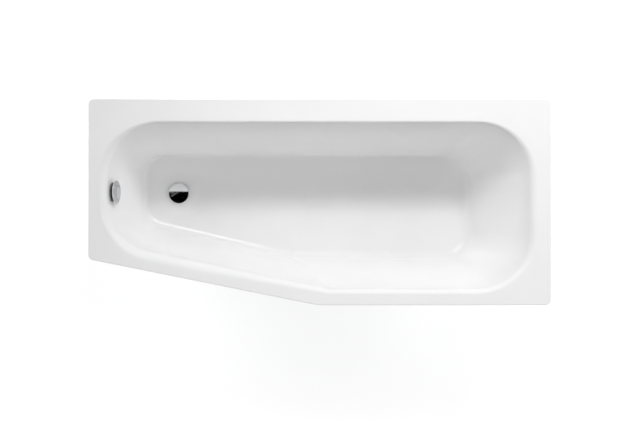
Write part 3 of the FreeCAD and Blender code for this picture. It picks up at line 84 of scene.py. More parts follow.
class BathSizes(bpy.types.PropertyGroup):
    """Sizes of the pressed sheet in metres: those of the solids, with finer rounds for each side."""
    rim_foot_x: length("Rim foot end", "Rim edge at the foot end", SHEET_BOX[0][0])
    rim_head_x: length("Rim head end", "Rim edge at the head end", SHEET_BOX[1][0])
    rim_back_y: length("Rim back", "Rim edge along the back", SHEET_BOX[1][1])
    rim_front_y: length("Rim front", "Rim edge along the straight front", SHEET_BOX[0][1])
    rim_z: length("Rim height", "Rim top above the room floor", SHEET_BOX[1][2])
    foot_width: length("Foot end width", "Bath width at the foot end", 0.544)
    taper_length: length("Taper length", "Foot end to the bend in the front rim", 0.780)
    sheet: length("Sheet", "Steel with its enamel", 0.003)
    skirt: length("Skirt", "Turned-down rim edge", 0.038)
    rim_edge: length("Rim edge radius", "Top outer edge of the rim", 0.0025)
    rim_corner: length("Rim corner radius", "Corners of the rim in plan", 0.018)
    rim_bend: length("Rim bend radius", "Front bend of the rim in plan", 0.060)
    rim_back: length("Back rim width", "Along the back", 0.079)
    rim_front: length("Front rim width", "Along the straight front", 0.0515)
    rim_taper: length("Taper rim width", "Along the tapered front", 0.059)
    rim_foot: length("Foot rim width", "At the foot end", 0.058)
    rim_head: length("Head rim width", "At the head end", 0.063)
    rolls: lengths("Roll radii", "Rim to wall: foot, taper, taper at the bend, front, head, back",
                   (0.036, 0.040, 0.020, 0.019, 0.027, 0.008))
    depth: length("Depth", "Rim top to the floor at the foot end", 0.420)
    deeper: length("Overrun", "Walls ruled past the floor", 0.020)
    run_back: length("Back run", "Lean of the back wall", 0.097)
    run_front: length("Front run", "Lean of the front wall", 0.0995)
    run_foot: length("Foot run", "Lean of the foot wall", 0.084)
    run_head: length("Head run", "Lean of the head wall", 0.182)
    floor_foot_width: length("Floor foot width", "Floor width at the foot end", 0.248)
    floor_taper: length("Floor taper", "Tapered length of the floor", 0.547)
    mouth_rounds: lengths("Mouth corners", "Foot back, foot front, bend, head front, head back",
                          (0.187, 0.177, 0.150, 0.185, 0.185))
    floor_rounds: lengths("Floor corners", "Foot back, foot front, bend, head front, head back",
                          (0.075, 0.075, 0.060, 0.090, 0.090))
    fillets: lengths("Floor fillet radii", "Wall to floor: foot, taper, front, head, back",
                     (0.020, 0.027, 0.036, 0.060, 0.013))
    fall: length("Floor fall", "Fall of the floor towards the waste", 0.010)
    drain_from_foot: length("Drain from foot", "Waste axis from the rim's foot end", 0.267)
    drain_from_back: length("Drain from back", "Waste axis from the back of the rim", 0.315)
    dish_depth: length("Dish depth", "Pressed seat round the waste", 0.0045)
    dish_seat: length("Dish seat", "Radius of the flat of the seat", 0.038)
    dish_top: length("Dish top", "Radius where it meets the floor", 0.080)
    hole: length("Hole radius", "Holes for the waste and the overflow", 0.026)
    overflow_drop: length("Overflow drop", "Overflow axis below the rim", 0.068)


class FittingSizes(bpy.types.PropertyGroup):
    """Sizes of the fittings, in metres."""
    plug_crown: length("Plug crown", "Rise of the cover's middle", 0.0008)
    plug_round: length("Plug edge", "Rounding of its edge", 0.0005)
    plug_edge: length("Plug thickness", "Plug cover at its rim", 0.0032)
    plug_boss: length("Plug boss", "Boss under the cover", 0.014)
    knob_radius: length("Knob radius", "Chrome turn knob", 0.040)
    knob_standoff: length("Knob standoff", "Knob off the wall, for the water", 0.0135)
    knob_edge: length("Knob thickness", "Knob at its rim", 0.0030)
    knob_crown: length("Knob crown", "Rise of the knob in its middle", 0.0015)
    knob_hub: length("Knob hub", "Hub behind the knob", 0.009)
    knob_hub_gap: length("Knob hub gap", "Hub off the wall", 0.0034)
    thread_pitch: length("Thread pitch", "Screw thread of the leg spindles", 0.00175)
    thread_depth: length("Thread depth", "Screw thread of the leg spindles", 0.0009)
    nut_height: length("Adjusting nut", "Height of a leg's lower nut", 0.010)
    lock_nut_height: length("Lock nut", "Height of a leg's upper nut", 0.007)
    foot_ribs: count("Foot ribs", "Ribs on a plastic foot", 12)
    grip_ribs: count("Grip ribs", "Ribs round the ring nut of the trap", 28)


class BathColours(bpy.types.PropertyGroup):
    """Base colours of the finishes."""
    enamel: colour("Enamel", "Gloss white enamel", (0.95, 0.95, 0.95))
    ground_coat: colour("Ground coat", "Back of the enamelled sheet", (0.50, 0.52, 0.54))
    chrome: colour("Chrome", "Plug, flange and knob", (0.70, 0.705, 0.715))
    zinc: colour("Zinc", "Galvanised rails and screws", (0.56, 0.57, 0.59))
    plastic_white: colour("White plastic", "Waste body, housing, pipe and cup", (0.76, 0.76, 0.74))
    plastic_grey: colour("Grey plastic", "Nuts, clamp, lever and clips", (0.30, 0.31, 0.32))
    # black is the feet's own colour; on the back and hub of the knob it is painted shade for the gap at the
    # wall
    plastic_black: colour("Black plastic", "Feet and the back of the knob", (0.035, 0.035, 0.037))
    rubber: colour("Rubber", "Seals, pads and soles", (0.028, 0.028, 0.029))
    bitumen: colour("Bitumen", "Sound-deadening mats", (0.055, 0.053, 0.050))
    sheath: colour("Sheath", "Pull cable", (0.040, 0.040, 0.044))


def lift(flat, height):
    """Plan points (n, 2) and heights as points (n, 3)."""
    return np.column_stack([flat, np.broadcast_to(height, len(flat))])


def unit(vectors):
    return vectors / np.linalg.norm(vectors, axis=-1, keepdims=True)


def grid_faces(rows, columns, wrap_rows=False):
    """Quads of a grid whose columns run round; wrapped rows close on themselves too."""
    i, j = np.meshgrid(np.arange(rows if wrap_rows else rows - 1), np.arange(columns), indexing="ij")
    below, beside = (i + 1) % rows, (j + 1) % columns
    quads = [i * columns + j, below * columns + j, below * columns + beside, i * columns + beside]
    return np.stack(quads, axis=-1).reshape(-1, 4)


def fan_faces(tip, ring):
    """Triangles from one point to a closed ring of points."""
    return np.column_stack([np.full(len(ring), tip), ring, np.roll(ring, -1)])


def added(name, data):
    """A new object, in the scene."""
    made = bpy.data.objects.new(name, data)
    bpy.context.scene.collection.objects.link(made)
    return made


def new_piece(name, form, body, slot, node, behind=None, finish_of_face=None, sharp=40.0):
    """Put a form's points and faces into a mesh that rides on a body and stands for a solid node.

    Faces with a 1 in finish_of_face get the finish named behind, all others that of the slot.
    """
    points, faces = form
    looks = all_finishes()
    mesh = bpy.data.meshes.new(name)
    mesh.from_pydata(points.tolist(), [], [face for part in faces for face in part.tolist()])
    mesh.materials.append(looks[slot])
    if behind:
        mesh.materials.append(looks[behind])
        mesh.polygons.foreach_set("material_index", finish_of_face)
    shape = bmesh.new()
    shape.from_mesh(mesh)
    bmesh.ops.recalc_face_normals(shape, faces=shape.faces)
    shape.to_mesh(mesh)
    shape.free()
    mesh.shade_smooth()
    mesh.set_sharp_from_angle(angle=math.radians(sharp))
    piece = added(name, mesh)
    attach(piece, body)
    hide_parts(node)


def solid_box(node):
    """Low and high corner of a solid, and the point on the room floor under its middle."""
    low, high = (np.array(corner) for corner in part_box(node))
    return low, high, np.array([*(low + high)[:2] / 2, 0.0])


def plan(corners, radii, shares, steps):
    """Outline of a polygon with round corners, anticlockwise: points and outward normals.

    A corner is an arc, centre + radius * n, whose normal n turns from one side's to the next side's.
    A side is start + (end - start) * share.
    """
    corners, radii = np.asarray(corners), np.asarray(radii)
    ahead = unit(np.roll(corners, -1, axis=0) - corners)
    out = np.column_stack([ahead[:, 1], -ahead[:, 0]])
    before = np.roll(out, 1, axis=0)
    first = np.arctan2(before[:, 1], before[:, 0])
    turn = (np.arctan2(out[:, 1], out[:, 0]) - first) % (2 * np.pi)
    reach = (radii * np.tan(turn / 2))[:, None]
    starts, ends = corners - np.roll(ahead, 1, axis=0) * reach, corners + ahead * reach
    centres = starts - before * radii[:, None]
    points, normals = [], []
    for corner, step in enumerate(steps):
        angle = first[corner] + turn[corner] * np.arange(step) / step
        spoke = np.column_stack([np.cos(angle), np.sin(angle)])
        share = np.asarray(shares[corner])[:, None]
        following = starts[(corner + 1) % len(corners)]
        points += [centres[corner] + radii[corner] * spoke, ends[corner] + (following - ends[corner]) * share]
        normals += [spoke, np.repeat(out[corner:corner + 1], len(share), axis=0)]
    return np.concatenate(points), np.concatenate(normals)


def soft_profile(corners, rounds, steps=5, hold=0.06):
    """A section of radius and height with its corners rounded by arcs.

    A corner is centre + radius * (cos, sin) between its two tangent points; beyond each of them a point at
    hold times the radius keeps the shading of the straight flat. The first and last corners stay as they are.
    """
    corners = np.asarray(corners, float)
    points = [corners[:1]]
    for before, at, after, radius in zip(corners[:-2], corners[1:-1], corners[2:], rounds):
        back, on = unit(before - at), unit(after - at)
        half = math.acos(np.clip(np.dot(back, on), -1, 1)) / 2
        if radius <= 0 or half > math.radians(89.5):
            points.append(at[None])
            continue
        reach = radius / math.tan(half)
        centre = at + unit(back + on) * radius / math.sin(half)
        start, end = at + back * reach - centre, at + on * reach - centre
        share = np.linspace(0, 1, steps)[:, None]
        swing = math.pi - 2 * half
        arc = (np.sin((1 - share) * swing) * start + np.sin(share * swing) * end) / math.sin(swing)
        still = radius * hold
        points += [(centre + start + back * still)[None], centre + arc, (centre + end + on * still)[None]]
    return np.concatenate(points + [corners[-1:]])


def turned(profile, around, ripple=None, closed=False):
    """A turned form: (r cos a, r sin a, h) for each station of the profile and angle a.

    ripple(angle, radius, height) may return changed radii and heights. An open profile starts and ends
    on the axis, and its two ends are single points; a closed one runs round a ring.
    """
    angle = np.linspace(0, 2 * np.pi, around, endpoint=False)
    inner = profile if closed else profile[1:-1]
    radius, height = np.repeat(inner.T[:, :, None], around, axis=2)
    if ripple is not None:
        radius, height = ripple(angle[None, :], radius, height)
    points = np.stack([radius * np.cos(angle), radius * np.sin(angle), height], axis=-1).reshape(-1, 3)
    rows = len(inner)
    faces = [grid_faces(rows, around, wrap_rows=closed)]
    if not closed:
        poles = [[0, 0, profile[0, 1]], [0, 0, profile[-1, 1]]]
        points = np.concatenate([points, poles])
        ring = np.arange(around)
        faces += [fan_faces(rows * around, ring), fan_faces(rows * around + 1, ring + (rows - 1) * around)]
    return points, faces


def placed(form, at, axis=(0.0, 0.0, 1.0), side=(0.0, 1.0, 0.0)):
    """A form drawn along Z, turned so that Z becomes axis and Y becomes side, then shifted."""
    points, faces = form
    return points @ np.stack([np.cross(side, axis), side, axis]) + at, faces


def joined(*forms):
    """Several (points, faces) as one."""
    points, faces, shift = [], [], 0
    for form_points, form_faces in forms:
        points.append(form_points)
        faces += [part + shift for part in form_faces]
        shift += len(form_points)
    return np.concatenate(points), faces


class Flow:
    """A shader socket that takes part in Python sums; each sum adds a Math node."""

    def __init__(self, tree, socket=None):
        self.tree = tree
        self.socket = socket

    def node(self, kind, values=None, out=0, **settings):
        """Add any node: its settings first, then the values or links of its sockets."""
        made = self.tree.nodes.new(kind)
        for name, value in settings.items():
            setattr(made, name, value)
        for key, value in (values or {}).items():
            if isinstance(value, Flow):
                self.tree.links.new(value.socket, made.inputs[key])
            else:
                made.inputs[key].default_value = value
        return Flow(self.tree, made.outputs[out] if len(made.outputs) else None)

    def maths(self, operation, first, second=0.0):
        return self.node("ShaderNodeMath", {0: first, 1: second}, operation=operation)

    def __add__(self, other):
        return self.maths("ADD", self, other)

    def __sub__(self, other):
        return self.maths("SUBTRACT", self, other)

    def __rsub__(self, other):
        return self.maths("SUBTRACT", other, self)

    def __mul__(self, other):
        return self.maths("MULTIPLY", self, other)

    __radd__ = __add__

    def part(self, axis):
        """The X, Y or Z of a vector."""
        return self.node("ShaderNodeSeparateXYZ", {0: self}, out=axis)

    def limited(self, low, high):
        """How far self is from low to high, held between 0 and 1."""
        return self.node("ShaderNodeMapRange", {"Value": self, "From Min": low, "From Max": high})

    def tint(self, first, second):
        """A colour that goes from first to second as self goes from 0 to 1."""
        return self.node("ShaderNodeMix", {0: self, 6: first, 7: second}, 2, data_type="RGBA")

    def shades(self, base, first, second):
        """The same between two shades of one colour."""
        return self.tint(shade(base, first), shade(base, second))

    def noise(self, scale, detail=2.0, roughness=0.5):
        values = {"Vector": self, "Scale": scale, "Detail": detail, "Roughness": roughness}
        return self.node("ShaderNodeTexNoise", values)

    def cells(self, scale, out="Distance"):
        return self.node("ShaderNodeTexVoronoi", {"Vector": self, "Scale": scale}, out=out)

    def bump(self, strength, distance):
        values = {"Height": self, "Strength": strength, "Distance": distance}
        return self.node("ShaderNodeBump", values, out="Normal")


def empty_tree(owner):
    """Start the node tree of a material or a world from nothing."""
    owner.use_nodes = True
    owner.node_tree.nodes.clear()
    return Flow(owner.node_tree)


def shade(base, factor):
    """A colour with each part times factor, as the four numbers of a socket."""
    return tuple(min(1.0, part * factor) for part in base) + (1.0,)


def finish(name, recipe, base, fixed):
    """A material: recipe(place, base) gives its colour, roughness and normal, fixed its plain values."""
    material = bpy.data.materials.new(name)
    start = empty_tree(material)
    place = start.node("ShaderNodeTexCoord", out="Object")
    linked = zip(("Base Color", "Roughness", "Normal"), recipe(place, base))
    surface = start.node("ShaderNodeBsdfPrincipled", {**fixed, **dict(linked)})
    start.node("ShaderNodeOutputMaterial", {"Surface": surface})
    material.diffuse_color = shade(base, 1.0)
    return material


def enamel_look(place, base):
    """Fired gloss enamel: faint waves, a fine orange peel and hardly visible clouding."""
    cloud = place.noise(7.0, 3.0)
    peel = place.noise(420.0, 1.0)
    wave = place.noise(38.0, 1.0)
    return (cloud.limited(0.3, 0.7).shades(base, 0.985, 1.005),
            0.10 + cloud * 0.06,
            (wave + peel * 0.12).bump(0.06, 0.0006))


def ground_coat_look(place, base):
    """Grey ground coat with fine specks, and white overspray that thins out below the rim."""
    height = place.part("Z")
    specks = place.cells(520.0).limited(0.10, 0.28)
    cloud = place.noise(11.0, 4.0)
    spray = (height + cloud * 0.16).limited(0.50, 0.72)
    grain = place.noise(900.0, 1.0).limited(0.42, 0.62)
    mist = (spray * 0.95 + grain * spray * 0.3).limited(0.0, 1.0)
    mottled = specks.shades(base, 0.62, 1.0)
    clouded = cloud.limited(0.25, 0.75).tint(mottled, shade(base, 1.12))
    return (mist.tint(clouded, (0.83, 0.83, 0.825, 1.0)),
            0.30 + cloud * 0.22 + grain * 0.08,
            (cloud * 0.4 + grain * 0.25 + specks * 0.2).bump(0.18, 0.0006))


def chrome_look(place, base):
    """Polished chrome with water marks and hair-fine polishing lines."""
    marks = place.noise(160.0, 4.0, 0.6)
    lines = place.noise(2600.0, 1.0)
    return (marks.limited(0.35, 0.75).shades(base, 1.0, 0.95),
            marks.limited(0.45, 0.85) * 0.05 + 0.035,
            lines.bump(0.012, 0.00004))


def zinc_look(place, base):
    """Galvanised steel: spangle of grey crystals, dull patches and fine grain."""
    crystal = place.cells(150.0, out="Color")
    tone = place.node("ShaderNodeSeparateColor", {0: crystal}, out=0)
    grain = place.noise(1400.0, 2.0)
    dull = place.noise(26.0, 4.0)
    spangle = tone.shades(base, 0.72, 1.2)
    return (dull.limited(0.45, 0.75).tint(spangle, shade(base, 0.8)),
            0.30 + tone * 0.12 + dull * 0.16,
            (grain * 0.35 + tone * 0.3).bump(0.12, 0.0003))


def plastic_look(place, base):
    """Moulded plastic: a fine eroded texture and slight flow clouds."""
    flow = place.noise(17.0, 3.0)
    texture = place.noise(1500.0, 2.0)
    return (flow.limited(0.3, 0.75).shades(base, 0.93, 1.05),
            0.34 + texture * 0.14 + flow * 0.08,
            (texture + flow * 0.6).bump(0.10, 0.0003))


def rubber_look(place, base):
    """Matt rubber with grey bloom and a fine pressed grain."""
    bloom = place.noise(48.0, 5.0, 0.6)
    grain = place.noise(2200.0, 2.0)
    return (bloom.limited(0.45, 0.8).shades(base, 1.0, 2.1),
            0.68 + bloom * 0.2,
            (grain + bloom * 0.5).bump(0.18, 0.0003))


def bitumen_look(place, base):
    """Bitumen mat with pressed diamonds, a sandy face and greyish wear."""
    waves = 520.0
    along, across = place.part("X") * waves, (place.part("Y") + place.part("Z")) * waves
    ridges = [slant.maths("SINE", slant) for slant in (along + across, along - across)]
    diamond = place.maths("MAXIMUM", *ridges).limited(0.55, 0.98)
    sand = place.noise(1300.0, 3.0)
    worn = place.noise(22.0, 4.0)
    tone = (diamond * 0.35 + worn * 0.65).limited(0.2, 0.8)
    return (tone.shades(base, 0.75, 1.7),
            0.62 + sand * 0.2,
            (diamond + sand * 0.35).bump(0.5, 0.0008))


def all_finishes():
    """Every material, by the slot names of the record and the ground coat on the back of the sheet."""
    tones = bpy.context.scene.bath_colours
    recipes = {
        "enamel": (enamel_look, {"IOR": 1.53}),
        "ground_coat": (ground_coat_look, {"IOR": 1.5}),
        "chrome": (chrome_look, {"Metallic": 1.0}),
        "zinc": (zinc_look, {"Metallic": 0.9}),
        **{f"plastic_{tone}": (plastic_look, {"IOR": 1.49}) for tone in ("white", "grey", "black")},
        "rubber": (rubber_look, {"IOR": 1.45}),
        "bitumen": (bitumen_look, {"IOR": 1.5}),
        "sheath": (plastic_look, {"IOR": 1.5}),
    }
    return {slot: bpy.data.materials.get(f"{slot}_finish")
            or finish(f"{slot}_finish", look, tuple(getattr(tones, slot)), fixed)
            for slot, (look, fixed) in recipes.items()}


def floor_plane(s):
    """X of the foot end of the floor, and the floor's rise for each metre from there."""
    foot = s.rim_foot_x + s.rim_foot + s.run_foot
    return foot, s.fall / (s.rim_head_x - s.rim_head - s.run_head - foot)


def drain_axis(s):
    """The axis of the waste in plan."""
    return np.array([s.rim_foot_x + s.drain_from_foot, s.rim_back_y - s.drain_from_back])


def overflow_place(s):
    """Middle of the overflow hole on the foot wall, and the normal of that wall."""
    inward = s.rim_foot + s.run_foot * s.overflow_drop / s.depth
    at = np.array([s.rim_foot_x + inward, drain_axis(s)[1], s.rim_z - s.overflow_drop])
    return at, unit(np.array([s.depth, 0.0, s.run_foot]))


def floor_height(s, at):
    """Height of the bath floor: a plane that falls to the foot end, with the pressed seat of the waste.

    Over the seat the height goes from the level seat to the plane as a soft ramp of the distance from
    the waste axis, (|t| - |t - 1| + 1) / 2 with each |v| taken as the root of v squared plus a little.
    """
    foot, slope = floor_plane(s)
    drain = drain_axis(s)
    low = s.rim_z - s.depth
    plane = low + (at[..., 0] - foot) * slope
    seat = low + (drain[0] - foot) * slope - s.dish_depth
    way = (np.linalg.norm(at - drain, axis=-1) - s.dish_seat) / (s.dish_top - s.dish_seat)
    soft = 0.10
    ramp = (np.sqrt(way ** 2 + soft ** 2) - np.sqrt((way - 1) ** 2 + soft ** 2) + 1) / 2
    return seat + (plane - seat) * ramp


def plans_of_bath(s):
    """Corner points and radii of the mouth, the ruled lower plan and the rim inside its round edge."""
    taper_y = s.rim_back_y - s.foot_width
    slope = (taper_y - s.rim_front_y) / s.taper_length
    slant = math.hypot(1, slope)
    mouth = [s.rim_foot_x + s.rim_foot, s.rim_head_x - s.rim_head, s.rim_back_y - s.rim_back,
             s.rim_front_y + s.rim_front, taper_y + s.rim_taper * slant - slope * s.rim_foot]
    mouth.append(s.rim_foot_x + (taper_y + s.rim_taper * slant - mouth[3]) / slope)
    floor = [mouth[0] + s.run_foot, mouth[1] - s.run_head, mouth[2] - s.run_back, mouth[3] + s.run_front]
    floor += [floor[2] - s.floor_foot_width, floor[0] + s.floor_taper]
    mouth, floor = np.array(mouth), np.array(floor)
    deep = floor + (floor - mouth) * s.deeper / s.depth
    inset = s.rim_edge
    rim = np.array([s.rim_foot_x + inset, s.rim_head_x - inset, s.rim_back_y - inset, s.rim_front_y + inset,
                    taper_y + inset * (slant - slope),
                    s.rim_foot_x + s.taper_length + inset * (slant - 1) / slope])

    def corners(values):
        foot, head, back, front, taper, bend = values
        return [(foot, back), (foot, taper), (bend, front), (head, front), (head, back)]

    corner, bend = s.rim_corner - inset, s.rim_bend - inset
    return (
        (corners(mouth), list(s.mouth_rounds)),
        (corners(deep), list(s.floor_rounds)),
        (corners(rim), [corner, corner, bend, corner, corner]),
    )


def round_the_outline(values, shares, steps):
    """One value per side, or a pair for its ends, spread to every column.

    Along a side the value goes evenly from one end to the other, round a corner by a smooth step.
    """
    ends = np.array([np.broadcast_to(value, 2) for value in values])
    parts = []
    for corner, step in enumerate(steps):
        before, (first, last) = ends[corner - 1, 1], ends[corner]
        share = np.arange(step) / step
        share = share * share * (3 - 2 * share)
        parts += [before + (first - before) * share, first + (last - first) * np.asarray(shares[corner])]
    return np.concatenate(parts)


def shell_form(s):
    """The pressed sheet as one closed grid, and the finish of each face (0 for the white side, 1 for the back).

    Columns follow the outline, rows the section: floor out from the waste hole, fillet, wall, roll, rim,
    edge and skirt. An arc row is centre + radius * (up cos f - out sin f). The back is each point moved by
    the sheet's thickness against its normal, so both sides close at the waste hole and at the skirt.
    The overflow hole takes the place of one flat cell on each side.
    """
    foot_shares, hole_share = [0.0, 0.1, 0.25, 0.96], 2
    plain = np.linspace(0, 0.98, 9)
    shares = [foot_shares, np.linspace(0, 0.99, 13), plain, plain, np.linspace(0, 0.99, 15)]
    steps = [30, 26, 10, 28, 28]
    fillet_rows, roll_rows, edge_rows = 10, 12, 8
    (mouth, out_mouth), (deep, out_deep), (rim, out_rim) = (
        plan(corners, radii, shares, steps) for corners, radii in plans_of_bath(s))
    out_mouth, out_deep, out_rim = (lift(out, 0.0) for out in (out_mouth, out_deep, out_rim))
    mouth, rim = lift(mouth, s.rim_z), lift(rim, s.rim_z)
    reach = s.depth + s.deeper
    ruling = lift(deep, s.rim_z - reach) - mouth
    lean_top = np.arctan2(-(ruling * out_mouth).sum(axis=1), reach)
    lean_low = np.arctan2(-(ruling * out_deep).sum(axis=1), reach)

    fillet_r = round_the_outline(list(s.fillets), shares, steps)[:, None]
    roll_foot, roll_taper, roll_bend, *roll_others = s.rolls
    roll_r = round_the_outline([roll_foot, (roll_taper, roll_bend), *roll_others], shares, steps)[:, None]

    def arc_rows(turn, out):
        """Normals that turn from up towards the hollow: up cos f - out sin f."""
        return np.cos(turn)[..., None] * UP - np.sin(turn)[..., None] * out

    # fillet at the floor
    foot, slope = floor_plane(s)
    share = (s.depth - (mouth[:, 0] - foot) * slope) / (reach + ruling[:, 0] * slope)
    toe = mouth + ruling * share[:, None]
    toe -= out_deep * fillet_r * np.tan((np.pi / 2 - lean_low) / 2)[:, None]
    toe[:, 2] = s.rim_z - s.depth + (toe[:, 0] - foot) * slope
    fillet_n = arc_rows((np.pi / 2 - lean_low) * np.linspace(0, 1, fillet_rows)[:, None], out_deep)
    fillet = toe + UP * fillet_r - fillet_r * fillet_n
    # roll at the rim
    brink = mouth + out_mouth * roll_r * np.tan((np.pi / 2 - lean_top) / 2)[:, None]
    roll_n = arc_rows((np.pi / 2 - lean_top) * np.linspace(1, 0, roll_rows)[:, None], out_mouth)
    roll = brink - UP * roll_r + roll_r * roll_n
    # wall between them, with two rows just above and below the overflow hole
    hole_at, tilt = overflow_place(s)
    cell = steps[0] + hole_share
    ends = fillet[-1, cell, 2], roll[0, cell, 2]
    hole_margin = 1.24
    clear = hole_margin * s.hole * tilt[0]
    marks = [(hole_at[2] + side * clear - ends[0]) / (ends[1] - ends[0]) for side in (-1, 1)]
    before_marks = [0.012, 0.25, 0.5]
    share = np.array([*before_marks, *marks, 0.988])[:, None, None]
    wall = fillet[-1] + (roll[0] - fillet[-1]) * share
    wall_n = unit(fillet_n[-1] + (roll_n[0] - fillet_n[-1]) * share)
    # floor out from the waste hole
    drain = drain_axis(s)
    spoke = toe[:, :2] - drain
    far = np.linalg.norm(spoke, axis=1)
    near = s.hole * np.array([1.0, 1.05, 1.2, 1.32, 1.4, 1.45, 1.5, 1.56, 1.66, 1.85,
                              2.15, 2.45, 2.7, 2.9, 3.0, 3.08, 3.16, 3.26, 3.4])
    outward = near[-1] + (far - near[-1]) * np.array([0.05, 0.15, 0.3, 0.45, 0.6, 0.75, 0.9, 0.985])[:, None]
    distance = np.concatenate([np.repeat(near[:, None], len(far), axis=1), outward])
    base = drain + (spoke / far[:, None]) * distance[..., None]
    nudge = 0.0001
    falls = [(floor_height(s, base - step) - floor_height(s, base + step)) / (2 * nudge)
             for step in nudge * np.eye(2)]
    floor = np.concatenate([base, floor_height(s, base)[..., None]], axis=-1)
    floor_n = unit(np.stack([*falls, np.ones_like(falls[0])], axis=-1))
    # rim, its round edge and the skirt
    across = np.array([0.015, 0.985])[:, None, None]
    flat = brink + (rim - brink) * across
    turn = np.linspace(0, np.pi / 2, edge_rows)[:, None]
    edge_n = arc_rows(turn * np.ones(len(rim)), -out_rim)
    edge = rim - UP * s.rim_edge + s.rim_edge * edge_n
    drop = np.array([0.03, 0.97, 1.0])[:, None, None] * (s.skirt - s.rim_edge)
    skirt = edge[-1] - UP * drop
    face = np.concatenate([floor, fillet, wall, roll, flat, edge, skirt])
    normal = np.concatenate([floor_n, fillet_n, wall_n, roll_n, np.broadcast_to(UP, flat.shape), edge_n,
                             np.broadcast_to(edge_n[-1], skirt.shape)])
    back = face - normal * s.sheet
    rows, columns = face.shape[:2]
    points = np.concatenate([face, back[::-1]]).reshape(-1, 3)
    quads = grid_faces(2 * rows, columns, wrap_rows=True)
    side = np.repeat((np.arange(2 * rows) >= rows - 1).astype(int), columns)
    side[-columns:] = 0
    # overflow hole
    low = len(floor) + len(fillet) + len(before_marks)
    upslope, toward = np.cross(tilt, [0.0, 1.0, 0.0]), np.array([0.0, -1.0, 0.0])
    upslope *= np.sign(upslope[2])
    quarter = 12
    whole = 4 * quarter
    angle = np.pi + np.linspace(0, 2 * np.pi, whole, endpoint=False)[:, None]
    circle = hole_at + s.hole * (np.cos(angle) * toward + np.sin(angle) * upslope)
    first = len(points)
    points = np.concatenate([points, circle, circle - tilt * s.sheet])
    ring = np.arange(whole)
    after = (ring + 1) % whole
    taken, extra, extra_side = [], [], []
    for layer, (lower, upper) in enumerate(((low, low + 1), (2 * rows - 1 - low, 2 * rows - 2 - low))):
        knots = np.array([lower * columns + cell, lower * columns + cell + 1,
                          upper * columns + cell + 1, upper * columns + cell])
        start = first + layer * whole
        fans = np.column_stack([np.repeat(knots, quarter), start + ring, start + after])
        joins = np.column_stack([knots, start + (np.arange(1, 5) * quarter) % whole, np.roll(knots, -1)])
        taken.append(min(lower, upper) * columns + cell)
        extra += [fans, joins]
        extra_side += [layer] * (len(fans) + len(joins))
    bore = np.column_stack([first + ring, first + after, first + whole + after, first + whole + ring])
    kept = np.delete(np.arange(len(quads)), taken)
    side = np.concatenate([side[kept], extra_side, np.ones(len(bore), int)])
    return (points, [quads[kept], *extra, bore]), side.astype(np.int32)


def domed_disc(radius, hub, levels, crown, rounds, shares):
    """Section of a disc on a hub: the levels are the hub's end, the disc's back and its face.

    The face is domed: it rises by crown * (1 - q * q) at each share q of the radius.
    """
    end, back, face = levels
    dome = np.column_stack([radius * shares, face + crown * (1 - shares ** 2)])
    corners = [(0, end), (hub, end), (hub, back), (radius, back), (radius, face), tuple(dome[0])]
    return np.concatenate([soft_profile(corners, rounds, 7)[:-1], dome[1:], [[0, face + crown]]])


def spindle_form(radius, bottom, top, fit):
    """A screw rod: the radius drops by a tooth wave of height / pitch - angle / full turn.

    Both ends are chamfered by holding the radius under a slanted line.
    """
    pitch, tooth = fit.thread_pitch, fit.thread_depth
    rows_per_turn, around = 6, 18
    stations = np.linspace(bottom, top, int((top - bottom) / pitch * rows_per_turn))
    profile = np.column_stack([np.full(len(stations) + 2, radius), np.concatenate([[bottom], stations, [top]])])

    def thread(angle, radii, heights):
        wave = np.abs((heights / pitch - angle / (2 * np.pi)) % 1.0 - 0.5) * 2
        cut = radii - tooth * np.clip(wave * 1.3 - 0.15, 0, 1)
        chamfer = radius - 1.6 * tooth + np.minimum(heights - bottom, top - heights)
        return np.minimum(cut, chamfer), heights

    return turned(profile, around, thread)


def hex_nut_form(across, bore, bottom, top):
    """A nut: at each angle the smaller of a hexagon's radius and a turned, chamfered section's."""
    bevel = across * 0.075
    half = [(bore, 0.5), (bore + bevel * 0.6, 0), (across * 0.84, 0), (across * 0.87, 0), (across, 1),
            (across, 1.3)]
    profile = np.array([(radius, bottom + bevel * rise) for radius, rise in half]
                       + [(radius, top - bevel * drop) for radius, drop in reversed(half)])

    def six_sides(angle, radii, heights):
        flat = across * math.cos(math.pi / 6) / np.cos((angle + np.pi / 6) % (np.pi / 3) - np.pi / 6)
        return np.minimum(radii, np.where(radii > bore + bevel, flat, radii)), heights

    return turned(profile, 72, six_sides, closed=True)


def foot_form(low, high, ribs):
    """A plastic foot: a turned plate with a cone and a hub; the cone is raised in a ring of ribs.

    Rib height is a smooth power of the cosine of ribs times the angle, faded in over the cone only.
    """
    radius, hub, bottom, top = (high[0] - low[0]) / 2, 0.012, low[2], high[2]
    plate = bottom + 0.006
    profile = soft_profile([(0, bottom), (radius, bottom), (radius, plate), (hub + 0.001, plate + 0.005),
                            (hub, top), (0, top)], [0.0008, 0.0016, 0.002, 0.0012])
    cone, rib_height = np.linspace(0.08, 0.92, 8)[:, None], 0.003
    outer, inner = np.array([radius - 0.002, plate + 0.0003]), np.array([hub + 0.0028, plate + 0.0046])
    split = int(np.argmax((profile[:, 1] > plate + 0.0004) & (profile[:, 0] < radius - 0.003)))
    profile = np.concatenate([profile[:split], outer + (inner - outer) * cone, profile[split:]])

    def rib(angle, radii, heights):
        way = np.clip((radius - 0.002 - radii) / (radius - hub - 0.005), 0, 1)
        fade = np.clip(np.minimum(way, 1 - way) * 6, 0, 1) * (heights < plate + 0.006) * (heights > plate)
        return radii, heights + rib_height * fade * (0.5 + 0.5 * np.cos(ribs * angle)) ** 6

    return turned(profile, 96, rib)


def sole_form(low, high):
    """A turned rubber disc, rounded more at its foot than at its top."""
    radius = (high[0] - low[0]) / 2
    corners = [(0, low[2]), (radius, low[2]), (radius, high[2]), (0, high[2])]
    return turned(soft_profile(corners, [0.0014, 0.0006]), 72)


